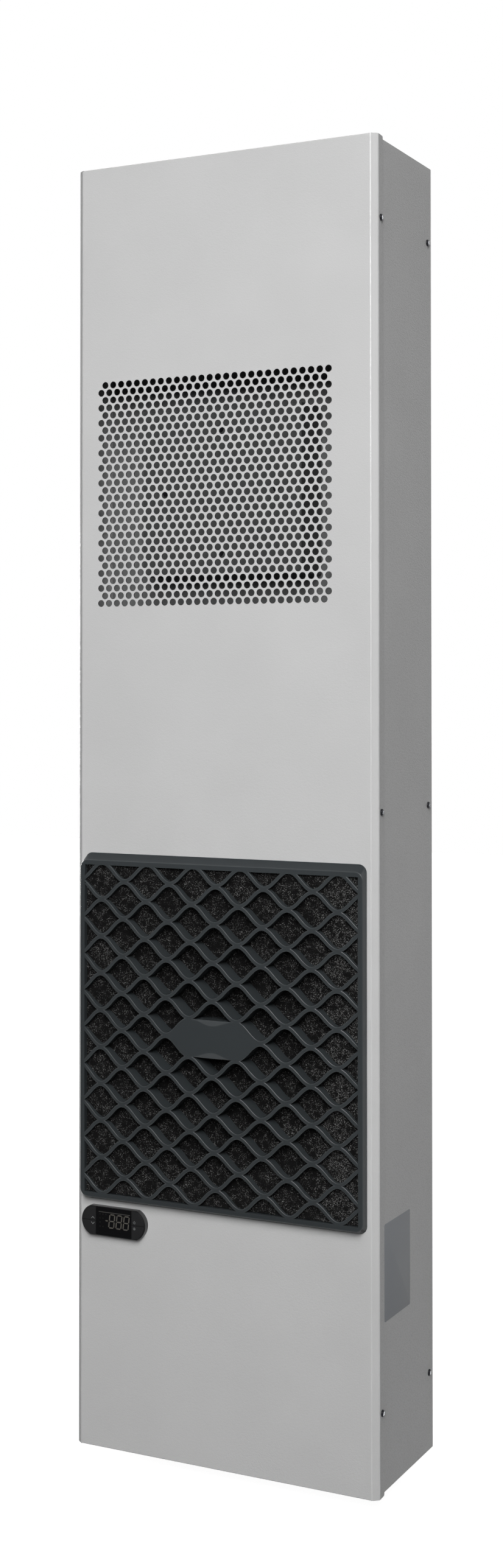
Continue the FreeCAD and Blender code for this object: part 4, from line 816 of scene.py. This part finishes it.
def button_surface(shape, node, side, end):
    """A button: its quarter outline carried back from a softly rounded face."""
    low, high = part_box(node)
    loops = [shape.place(shape.lobe(0, side, end), high.y)]
    for inset, drop in quarter_round(shape.control.button_edge, 3):
        loops.append(shape.place(shape.lobe(inset, side, end), low.y + drop))
    return Surface(loops)


def window_surface(shape):
    """The display window: a plate with a narrow bevel round its face."""
    low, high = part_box("controller_window")
    face = low.y - 0.7 * MM
    bevel = 0.3 * MM
    corner = 0.4 * MM
    stations = ((high.y + 1.5 * MM, 0), (face + bevel, 0), (face, bevel))
    half = np.array([shape.window_half + shape.control.window_gap, shape.half_z - shape.control.button_rim])
    return Surface([shape.place(rounded_loop(*(half - inset), corner), y) for y, inset in stations])


def bar_outline(start, end, width):
    """A segment of a digit: a bar with pointed ends."""
    start = np.array(start)
    end = np.array(end)
    along = (end - start) / np.linalg.norm(end - start)
    side = np.array([-along[1], along[0]]) * width / 2
    tip = along * width / 2
    return np.array([start, start + tip + side, end - tip + side, end, end - tip - side, start + tip - side])


def digits_surface(shape):
    """Unlit digits on the window's face: a minus sign and three eights of seven leaning bars.

    Small signs stand to their left and a line above them. Finish 0 is for the digits, finish 1 for the line
    and finish 2 for the fainter signs.
    """
    control = shape.control
    low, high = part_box("controller_window")
    proud = 0.72 * MM
    face = low.y - proud
    height = control.digit_height / 2
    width = control.digit_width / 2
    gap = 0.3 * control.stroke
    middle = np.array([control.digits_x, control.digits_z])
    surface = Surface()
    bars = [((-width, z), (width, z)) for z in (-height, 0, height)]
    bars += [((x, z), (x, z + height)) for x in (-width, width) for z in (-height, 0)]
    for digit in (-1, 0, 1):
        for start, end in bars:
            reach = np.subtract(end, start)
            inset = gap * reach / np.linalg.norm(reach)
            outline = bar_outline(start + inset, end - inset, control.stroke)
            outline[:, 0] += outline[:, 1] * control.slant + digit * control.digit_step
            surface.plate(shape.place(outline + middle, face), PRINT)
    left = -control.digit_step - width
    sign_far, sign_near = 1.65, 0.5
    sign = bar_outline((left - sign_far * width, 0), (left - sign_near * width, 0), control.stroke)
    surface.plate(shape.place(sign + middle, face), PRINT)
    icon = rounded_loop(control.icon / 2, control.icon / 2, control.icon / 3, 4)
    icon_far, icon_step, icon_row = 3.8, 1.2, 0.62
    for column, row in ((0, 0), (0, 1), (0, 2), (0, 3), (1, 0), (1, 1), (1, 3), (2, 0)):
        spot = (left - (icon_far - icon_step * column) * width, (1.5 - row) * height * icon_row)
        surface.plate(shape.place(icon + middle + spot, face), PRINT, 2)
    line_rise, line_corner, line_x = 0.4 * MM, 0.3 * MM, 1.2 * MM
    line = rounded_loop(control.line_half, line_rise, line_corner, 2) + (line_x, control.line_z)
    surface.plate(shape.place(line, face), PRINT, 1)
    return surface


def chevron_surface(shape, node, end):
    """A chevron printed on a button: two thin bars that meet in a point."""
    low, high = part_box(node)
    half = 2.1 * MM
    rise = 2.2 * MM
    drop = 0.75 * MM
    edge = np.array([(-half, -rise / 2), (0, rise / 2), (half, -rise / 2)])
    outline = np.concatenate([edge, edge[::-1] - (0, drop)])
    control = shape.control
    middle = np.array([-(shape.window_half + control.mark_gap), end * control.mark_rise])
    surface = Surface()
    surface.plate(shape.place(outline * (1, end) + middle, low.y - PRINT / 2), PRINT)
    return surface


def ring_mark_surface(shape, node, end, open_top):
    """A small printed ring, open at the top with a stroke in the gap, or closed round a dot."""
    low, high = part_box(node)
    radius = 1.5 * MM
    width = 0.32 * MM
    gap = 0.6 if open_top else 0.01
    steps = 33
    spoke = spokes(np.linspace(math.pi / 2 + gap, math.pi * 2.5 - gap, steps))
    control = shape.control
    middle = np.array([shape.window_half + control.mark_gap, end * control.mark_rise])
    y = low.y - PRINT / 2
    surface = Surface()
    ring = np.concatenate([(radius - width) * spoke, radius * spoke[::-1]]) + middle
    surface.plate(shape.place(ring, y), PRINT)
    stroke_half, stroke_corner, stroke_z = 0.9 * MM, 0.1 * MM, 1.1 * MM
    dot = 0.5 * MM
    if open_top:
        mark = rounded_loop(width / 2, stroke_half, stroke_corner, 2) + middle + (0, stroke_z)
    else:
        mark = rounded_loop(dot, dot, dot, 4) + middle
    surface.plate(shape.place(mark, y), PRINT)
    return surface


def label_surface():
    """A bare sticker on the right side: a thin plate with round corners."""
    low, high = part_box("casing_wrap")
    centre = np.array([-112.3, -525.5]) * MM
    half = np.array([39, 55.5]) * MM
    corner = 2 * MM
    stations = ((0, 0), (0.1 * MM, 0), (0.14 * MM, 0.1 * MM))
    loops = [np.insert(rounded_loop(*(half - inset), corner) + centre, 0, high.x + rise, axis=1)
             for rise, inset in stations]
    return Surface(loops)


class Nodes:
    """The nodes of one tree, with short ways to place and join them."""

    def __init__(self, tree):
        self.tree = tree

    def feed(self, node, socket, value):
        """Give an input, called by its name or by _ and its number, a value or another node's output."""
        target = node.inputs[int(socket[1:])] if socket[0] == "_" else node.inputs[socket.replace("_", " ")]
        if isinstance(value, bpy.types.NodeSocket):
            self.tree.links.new(value, target)
        else:
            target.default_value = value

    def node(self, kind, settings=None, **values):
        """A node with its own settings, and values or joined outputs for its inputs."""
        made = self.tree.nodes.new(kind)
        for name, value in (settings or {}).items():
            setattr(made, name, value)
        for socket, value in values.items():
            self.feed(made, socket, value)
        return made

    def group(self, tree, **values):
        """The outputs of a shared effect, placed with its own values."""
        return self.node("ShaderNodeGroup", {"node_tree": tree}, **values).outputs

    def math(self, operation, first, second):
        """One sum of two values or outputs."""
        return self.node("ShaderNodeMath", {"operation": operation}, _0=first, _1=second).outputs[0]

    def span(self, value, low, high, start=0.0, end=1.0):
        """A varying value carried from one range to another."""
        ranges = {"From Min": start, "From Max": end, "To Min": low, "To Max": high}
        return self.node("ShaderNodeMapRange", None, Value=value, **ranges).outputs[0]

    def place(self):
        """Object coordinates."""
        return self.node("ShaderNodeTexCoord").outputs["Object"]

    def scaled_place(self, size):
        """Object coordinates divided by a size."""
        rate = self.math("DIVIDE", 1.0, size)
        scaled = self.node("ShaderNodeVectorMath", {"operation": "SCALE"}, _0=self.place(), Scale=rate)
        return scaled.outputs[0]

    def seen_directly(self):
        """One for what the camera, a mirror or a pane sees, nothing for light that falls on the object."""
        path = self.node("ShaderNodeLightPath").outputs
        mirrored = self.math("MAXIMUM", path["Is Camera Ray"], path["Is Glossy Ray"])
        return self.math("MAXIMUM", mirrored, path["Is Transmission Ray"])


class Finish(Nodes):
    """A material with its Principled shader."""

    def __init__(self, name, base, roughness, metallic=0.0, gloss=0.5):
        self.material = bpy.data.materials.new(name)
        self.material.use_nodes = True
        super().__init__(self.material.node_tree)
        self.shader = self.tree.nodes["Principled BSDF"]
        self.base = (*base, 1.0)
        plain = {"Base Color": self.base, "Roughness": roughness, "Metallic": metallic}
        for socket, value in {**plain, "Specular IOR Level": gloss}.items():
            self.feed(self.shader, socket, value)

    def tint(self, share, other):
        """Move the base colour towards another one, by a share that varies over the surface."""
        mixed = self.node("ShaderNodeMix", {"data_type": "RGBA"}, _0=share, _6=self.base, _7=(*other, 1.0))
        self.feed(self.shader, "Base Color", mixed.outputs[2])

    def shade(self, share, level):
        """Move the base colour towards a darker level of itself."""
        self.tint(share, [level * part for part in self.base[:3]])

    def rough(self, value, low, high):
        """Let the roughness vary between two levels."""
        self.feed(self.shader, "Roughness", self.span(value, low, high))

    def bump(self, height, strength, distance):
        """Let a height stand out of the surface."""
        made = self.node("ShaderNodeBump", None, Strength=strength, Distance=distance, Height=height)
        self.feed(self.shader, "Normal", made.outputs[0])


def effect(name, inputs, outputs):
    """A shader group with named value sockets: its nodes, what comes in, and the node that puts out."""
    tree = bpy.data.node_groups.new(name, "ShaderNodeTree")
    for label, default in inputs.items():
        socket = tree.interface.new_socket(label, in_out="INPUT", socket_type="NodeSocketFloat")
        socket.default_value = default
    for label in outputs:
        tree.interface.new_socket(label, in_out="OUTPUT", socket_type="NodeSocketFloat")
    nodes = Nodes(tree)
    return nodes, nodes.node("NodeGroupInput").outputs, nodes.node("NodeGroupOutput")


def grain_effect():
    """Fine grain of a coat or a moulding: soft noise for height and slow noise for tone."""
    nodes, start, end = effect("surface_grain", {"Grain size": 0.001, "Tone size": 0.1}, ("Height", "Tone"))
    for size, label, detail in (("Grain size", "Height", 3.0), ("Tone size", "Tone", 2.0)):
        spot = nodes.scaled_place(start[size])
        noise = nodes.node("ShaderNodeTexNoise", None, Vector=spot, Scale=1.0, Detail=detail)
        nodes.feed(end, label, noise.outputs[0])
    return nodes.tree


def facet_effect():
    """Facets, as of zinc flowers or foam cells: a tone per cell and the distance from its middle."""
    nodes, start, end = effect("surface_facets", {"Facet size": 0.005}, ("Tone", "Distance"))
    spot = nodes.scaled_place(start["Facet size"])
    cells = nodes.node("ShaderNodeTexVoronoi", None, Vector=spot, Scale=1.0)
    split = nodes.node("ShaderNodeSeparateColor", None, _0=cells.outputs["Color"])
    nodes.feed(end, "Tone", split.outputs[0])
    nodes.feed(end, "Distance", cells.outputs["Distance"])
    return nodes.tree


# Each coat: material, colour, roughness, size of its grain in millimetres, strength of the grain's bump and
# its depth in millimetres, and gloss
COATS = {
    "paint": ("powder_paint", "paint", 0.28, 1.6, 0.45, 0.34, 0.03),
    "side": ("powder_paint_side", "paint", 0.28, 1.8, 0.8, 0.5, 0.03),
    "fold": ("powder_paint_fold", "paint", 0.2, 1.8, 0.8, 0.34, 0.5),
    "grille": ("anthracite_plastic", "grille", 0.18, 0.35, 0.1, 0.04, 0.05),
    "edge": ("anthracite_edge", "grille", 0.22, 0.35, 0.1, 0.04, 0.32),
    "bezel": ("bezel_plastic", "bezel", 0.42, 0.4, 0.15, 0.05, 0.05),
    "wall": ("bezel_wall", "bezel", 0.3, 0.4, 0.1, 0.03, 0.9),
    "fan": ("black_fan_plastic", "fan", 0.45, 0.5, 0.15, 0.05, 0.2),
    "motor": ("black_enamel", "motor", 0.4, 0.8, 0.2, 0.1, 0.2),
    "rubber": ("black_rubber", "rubber", 0.85, 0.6, 0.6, 0.3, 0.2),
    "drain": ("grey_drain_plastic", "drain", 0.45, 0.8, 0.1, 0.05, 0.2),
    "electric": ("pale_plastic", "electric", 0.4, 0.5, 0.15, 0.05, 0.2),
    "label": ("label_film", "label", 0.35, 2.0, 0.05, 0.02, 0.05),
    "mark": ("printed_mark", "mark", 0.5, 0.3, 0.05, 0.01, 0.2),
    "digit": ("unlit_segment", "digit", 0.4, 0.3, 0.05, 0.01, 0.02),
    "line": ("window_line", "line", 0.4, 0.3, 0.05, 0.01, 0.02),
    "icon": ("unlit_sign", "icon", 0.4, 0.3, 0.05, 0.01, 0.02),
    # Painted light: primer and shelf are lightened to make up for their shade behind the outlet
    "primer": ("dark_primer", "primer", 0.6, 0.8, 0.2, 0.1, 0.2),
    "shelf": ("grey_coat", "shelf", 0.6, 0.8, 0.2, 0.1, 0.2),
    # The cut edge is partly a bare edge and partly painted shade inside the punched holes
    "cut": ("cut_edge", "cut", 0.6, 0.3, 0.2, 0.04, 0.05),
    "board": ("green_board", "board", 0.4, 3, 0.1, 0.05, 0.2),
}
# Each metal: material, roughness and size of its facets in millimetres
METALS = {
    # The screw and recess metals paint a reflection: a dark head and a bright middle in place of mirrored
    # light
    "screw": ("dark_steel", 0.22, 0.6),
    "recess": ("bright_steel", 0.3, 0.6),
    "zinc": ("galvanised_steel", 0.38, 9),
    "copper": ("bright_copper", 0.3, 12),
}


class Finishes:
    """Every material of the part, made once."""

    def __init__(self, colours):
        self.grain = grain_effect()
        self.facets = facet_effect()
        for finish, (name, base, *look) in COATS.items():
            setattr(self, finish, self.coat(name, getattr(colours, base), *look))
        for finish, (name, *look) in METALS.items():
            setattr(self, finish, self.metal(name, getattr(colours, finish), *look))
        self.fins = self.finned("aluminium_fins", colours.fins)
        self.foam = self.filter_foam("black_foam", colours.foam, colours.glint_colour)
        self.glass = self.display("smoked_window")

    def coat(self, name, base, roughness, size, strength, depth, gloss):
        """Paint or plastic: grain in the normal, slow changes of tone and of gloss."""
        made = Finish(name, base, roughness, gloss=gloss)
        grain = made.group(self.grain, Grain_size=size * MM, Tone_size=110 * MM)
        made.shade(made.span(grain["Tone"], low=0, high=0.10, start=0.3, end=0.7), level=0.6)
        made.rough(grain["Height"], low=roughness - 0.06, high=roughness + 0.06)
        made.bump(grain["Height"], strength, depth * MM)
        return made.material

    def metal(self, name, base, roughness, size):
        """Metal: facets of slightly different tone, with slow stains."""
        made = Finish(name, base, roughness, metallic=1.0)
        facets = made.group(self.facets, Facet_size=size * MM)
        grain = made.group(self.grain, Grain_size=0.3 * MM, Tone_size=50 * MM)
        made.shade(made.span(facets["Tone"], low=0, high=0.35), level=0.55)
        made.rough(grain["Tone"], low=roughness - 0.1, high=roughness + 0.12)
        made.bump(grain["Height"], strength=0.05, distance=0.02 * MM)
        return made.material

    def finned(self, name, base):
        """Coil face: upright fins as bands across the width, with painted shade in the gaps between them."""
        # Painted shade: the gaps between the fins are darkened where shade falls between them
        gap_shade = (0.02, 0.02, 0.02)
        made = Finish(name, base, roughness=0.4, metallic=0.8)
        wave = made.node("ShaderNodeTexWave", None, Vector=made.place(), Scale=160.0, Distortion=0.0)
        band = wave.outputs["Fac"]
        made.tint(made.span(band, low=0.9, high=0.0, start=0.1, end=0.6), gap_shade)
        made.bump(band, strength=0.6, distance=0.5 * MM)
        return made.material

    def filter_foam(self, name, base, glint_colour):
        """Open foam: black cells with painted highlights as glints on a few, in loose clusters.

        The glints grow closer towards the right end as painted light.
        """
        made = Finish(name, base, roughness=0.95, gloss=0.02)
        cells = made.group(self.facets, Facet_size=1.05 * MM)
        pores = made.group(self.facets, Facet_size=9 * MM)
        grain = made.group(self.grain, Grain_size=4 * MM, Tone_size=18 * MM)
        core = made.span(cells["Distance"], low=1, high=0, start=0.15, end=0.5)
        web = made.span(pores["Distance"], low=-0.5, high=0.2, start=0.2, end=0.5)
        cluster = made.math("ADD", grain["Height"], grain["Tone"])
        lift = made.span(cluster, low=-0.4, high=0.1, start=0.75, end=1.2)
        across = made.node("ShaderNodeSeparateXYZ", None, Vector=made.place()).outputs["X"]
        # Painted light: more glints towards the right end, where the lamps light the foam more
        right_end_light = made.span(across, low=0, high=0.3, start=122 * MM, end=135 * MM)
        dense = made.math("ADD", web, made.math("ADD", lift, right_end_light))
        chance = made.math("ADD", cells["Tone"], dense)
        glint = made.math("POWER", made.span(chance, low=0, high=1, start=0.1, end=1.15), 2.0)
        made.tint(made.math("MULTIPLY", core, glint), glint_colour)
        made.bump(cells["Distance"], strength=0.8, distance=0.5 * MM)
        return made.material

    def display(self, name):
        """Smoked window: black and glossy with a trace of dust."""
        smoke = (0.003, 0.003, 0.0035)
        made = Finish(name, smoke, roughness=0.06, gloss=0.03)
        grain = made.group(self.grain, Grain_size=0.5 * MM, Tone_size=20 * MM)
        made.rough(grain["Tone"], low=0.04, high=0.12)
        return made.material


def finishes():
    """The materials, made on first use."""
    if not FINISHES:
        FINISHES.append(Finishes(bpy.context.scene.cooler_colours))
    return FINISHES[0]


FINISHES = []
SLOT_FINISHES = {
    "cover_paint": "paint",
    "sheet_steel": "zinc",
    "screw_steel": "screw",
    "grille_plastic": "grille",
    "button_plastic": "bezel",
    "filter_foam": "foam",
    "seal_rubber": "rubber",
    "display_glass": "glass",
    "board_green": "board",
    "fan_plastic": "fan",
    "motor_black": "motor",
    "coil_fins": "fins",
    "copper_tube": "copper",
    "drain_plastic": "drain",
    "electric_plastic": "electric",
}
# The sheets behind the outlet take the primer and shelf colours, lightened as painted light for their shade
NODE_FINISHES = {
    "casing_wrap": "side",
    "condenser_fan_bracket": "primer",
    "condenser_shelf": "shelf",
    "partition_plate": "primer",
}


class COOLER_OT_frame_finishes(bpy.types.Operator):
    """Give every CAD node the finish of its slot, or its own."""

    bl_idname = "cooler.frame_finishes"
    bl_label = "Frame finishes"

    def execute(self, context):
        for subpart in frame["record"]["subparts"]:
            node = subpart["node"]
            finish = NODE_FINISHES.get(node, SLOT_FINISHES[subpart["material_slot"]])
            mesh = frame["nodes"][node].data
            mesh.materials.clear()
            mesh.materials.append(getattr(finishes(), finish))
        return {"FINISHED"}


class COOLER_OT_front_cover(bpy.types.Operator):
    """Fold the front cover from sheet, with its outlet field and openings."""

    bl_idname = "cooler.front_cover"
    bl_label = "Front cover"

    def execute(self, context):
        cover = context.scene.cooler_cover
        coats = ("paint", "fold", "paint", "cut")
        piece = make_piece(
            "cover_sheet", cover_surface(cover), coats, HOUSING, ["front_cover"],
            outwards=False, crease=0,
        )
        wall = piece.modifiers.new("sheet", "SOLIDIFY")
        wall.thickness = cover.sheet
        wall.offset = -1
        wall.use_even_offset = True
        # A rim takes the finish after its sheet's own, so hole walls show a dark cut edge, partly painted
        # shade
        wall.material_offset_rim = 1
        return {"FINISHED"}


class COOLER_OT_filter_unit(bpy.types.Operator):
    """Shape the domed grille and the foam mat behind it."""

    bl_idname = "cooler.filter_unit"
    bl_label = "Filter grille and mat"

    def execute(self, context):
        shape = GrilleShape(context.scene.cooler_grille)
        surface = Surface()
        lattice(surface, shape)
        grille_frame(surface, shape)
        grille_tabs(surface, shape, context.scene.cooler_cover.window_rise)
        plastic = ("grille", "edge")
        make_piece("wave_grille", surface, plastic, FILTER_UNIT, ["filter_grille"])
        mat = make_piece("foam_mat", mat_surface(shape), ["foam"], FILTER_UNIT, ["filter_mat"])
        return {"FINISHED"}


class COOLER_OT_screws(bpy.types.Operator):
    """Turn the pan head screws of the cover and of the rear panel."""

    bl_idname = "cooler.screws"
    bl_label = "Side screws"

    def execute(self, context):
        for node, sink in (("cover_screws", context.scene.cooler_cover.lean / 2), ("rear_screws", 0)):
            surface = screw_surface(context.scene.cooler_fasteners, node, sink)
            make_piece(f"{node}_heads", surface, ("screw", "recess"), HOUSING, [node])
        return {"FINISHED"}


class COOLER_OT_controller(bpy.types.Operator):
    """Mould the controller's case, window and buttons, and print their marks."""

    bl_idname = "cooler.controller"
    bl_label = "Controller"

    def execute(self, context):
        shape = ControlShape(context.scene.cooler_control)
        case = housing_surface(shape)
        plastic = ("bezel", "wall")
        make_piece("controller_case", case, plastic, HOUSING, ["controller_housing"])
        pane = window_surface(shape)
        make_piece("display_window", pane, ["glass"], HOUSING, ["controller_window"])
        digits = digits_surface(shape)
        make_piece("display_digits", digits, ("digit", "line", "icon"), HOUSING)
        buttons = {
            "button_up": (-1, 1), "button_down": (-1, -1), "button_standby": (1, 1), "button_set": (1, -1),
        }
        for node, (side, end) in buttons.items():
            body = f"{node}_cap"
            lobe = button_surface(shape, node, side, end)
            make_piece(f"{node}_lobe", lobe, ["bezel"], body, [node])
            if side < 0:
                printed = chevron_surface(shape, node, end)
            else:
                printed = ring_mark_surface(shape, node, end, end > 0)
            make_piece(f"{node}_mark", printed, ["mark"], body)
        return {"FINISHED"}


class COOLER_OT_label(bpy.types.Operator):
    """Stick the bare label on the right side."""

    bl_idname = "cooler.label"
    bl_label = "Side label"

    def execute(self, context):
        make_piece("side_label", label_surface(), ["label"], HOUSING)
        return {"FINISHED"}


class COOLER_OT_stage(bpy.types.Operator):
    """Set the camera, a key lamp, a high soft lamp, one behind the part, the floor and the surroundings."""

    bl_idname = "cooler.stage"
    bl_label = "Stage"

    def execute(self, context):
        scene = context.scene
        stage = scene.cooler_stage
        scene.view_settings.view_transform = "Standard"
        camera = bpy.data.objects.new("camera", bpy.data.cameras.new("camera"))
        camera.data.lens = stage.lens
        camera.data.shift_x = stage.shift_x
        camera.data.shift_y = stage.shift_y
        camera.location = stage.camera
        camera.rotation_euler = (math.pi / 2 + stage.pitch, 0, stage.yaw)
        scene.collection.objects.link(camera)
        scene.camera = camera
        for name in ("key", "high", "back"):
            self.lamp(scene, stage, name)
        self.floor(scene, stage)
        self.surroundings(scene, stage)
        return {"FINISHED"}

    def lamp(self, scene, stage, name):
        """A square lamp that looks at a height on the part's upright axis."""
        lamp = bpy.data.objects.new(f"{name}_lamp", bpy.data.lights.new(f"{name}_lamp", "AREA"))
        lamp.data.energy = getattr(stage, f"{name}_power")
        lamp.data.size = getattr(stage, f"{name}_size")
        lamp.data.spread = getattr(stage, f"{name}_spread")
        lamp.location = getattr(stage, name)
        aim = Vector((0, 0, stage.aim)) - lamp.location
        lamp.rotation_euler = aim.to_track_quat("-Z", "Y").to_euler()
        scene.collection.objects.link(lamp)

    def floor(self, scene, stage):
        """A wide pale plane just under the drain spout, which fades into the white round it."""
        reach, corner = 8.0, 1.0
        level = cad_box[0].z - MM
        mesh = bpy.data.meshes.new("floor")
        corners = rounded_loop(reach, reach, corner)
        mesh.from_pydata(np.insert(corners, 2, level, axis=1), [], [list(range(len(corners)))])
        plane = bpy.data.objects.new("floor", mesh)
        scene.collection.objects.link(plane)
        finish = Finish("floor_white", [stage.floor_tone] * 3, roughness=0.9)
        away = finish.node("ShaderNodeVectorMath", {"operation": "LENGTH"}, _0=finish.place())
        white = finish.span(away.outputs["Value"], stage.floor_glow, 1.0, stage.floor_near, stage.floor_far)
        seen = finish.math("MULTIPLY", finish.seen_directly(), white)
        glow = finish.node("ShaderNodeEmission", None, Color=WHITE, Strength=seen)
        both = finish.node("ShaderNodeAddShader", None, _0=finish.shader.outputs[0], _1=glow.outputs[0])
        finish.feed(finish.tree.nodes["Material Output"], "Surface", both.outputs[0])
        mesh.materials.append(finish.material)

    def surroundings(self, scene, stage):
        """White where it is seen, a low even fill where it only lights."""
        world = bpy.data.worlds.new("surroundings")
        world.use_nodes = True
        nodes = Nodes(world.node_tree)
        back = nodes.tree.nodes["Background"]
        nodes.feed(back, "Color", WHITE)
        nodes.feed(back, "Strength", nodes.span(nodes.seen_directly(), stage.fill, 1.0))
        scene.world = world


class COOLER_PT_panel(bpy.types.Panel):
    """Lists the pieces of the air conditioner."""

    bl_idname = "COOLER_PT_panel"
    bl_label = "Enclosure air conditioner"
    bl_space_type = "VIEW_3D"
    bl_region_type = "UI"
    bl_category = "Cooling"

    def draw(self, context):
        for maker in OPERATORS:
            self.layout.operator(maker.bl_idname)


GROUPS = {
    "cooler_cover": CoverSizes,
    "cooler_grille": GrilleSizes,
    "cooler_control": ControlSizes,
    "cooler_fasteners": FastenerSizes,
    "cooler_stage": StageSizes,
    "cooler_colours": Colours,
}
OPERATORS = (
    COOLER_OT_frame_finishes,
    COOLER_OT_front_cover,
    COOLER_OT_filter_unit,
    COOLER_OT_screws,
    COOLER_OT_controller,
    COOLER_OT_label,
    COOLER_OT_stage,
)


def register():
    for name, group in GROUPS.items():
        bpy.utils.register_class(group)
        setattr(bpy.types.Scene, name, PointerProperty(type=group))
    for kind in (*OPERATORS, COOLER_PT_panel):
        bpy.utils.register_class(kind)


def unregister():
    for kind in (COOLER_PT_panel, *reversed(OPERATORS)):
        bpy.utils.unregister_class(kind)
    for name, group in reversed(GROUPS.items()):
        delattr(bpy.types.Scene, name)
        bpy.utils.unregister_class(group)


def main():
    register()
    for maker in OPERATORS:
        family, name = maker.bl_idname.split(".")
        getattr(getattr(bpy.ops, family), name)()


if __name__ == "__main__":
    main()
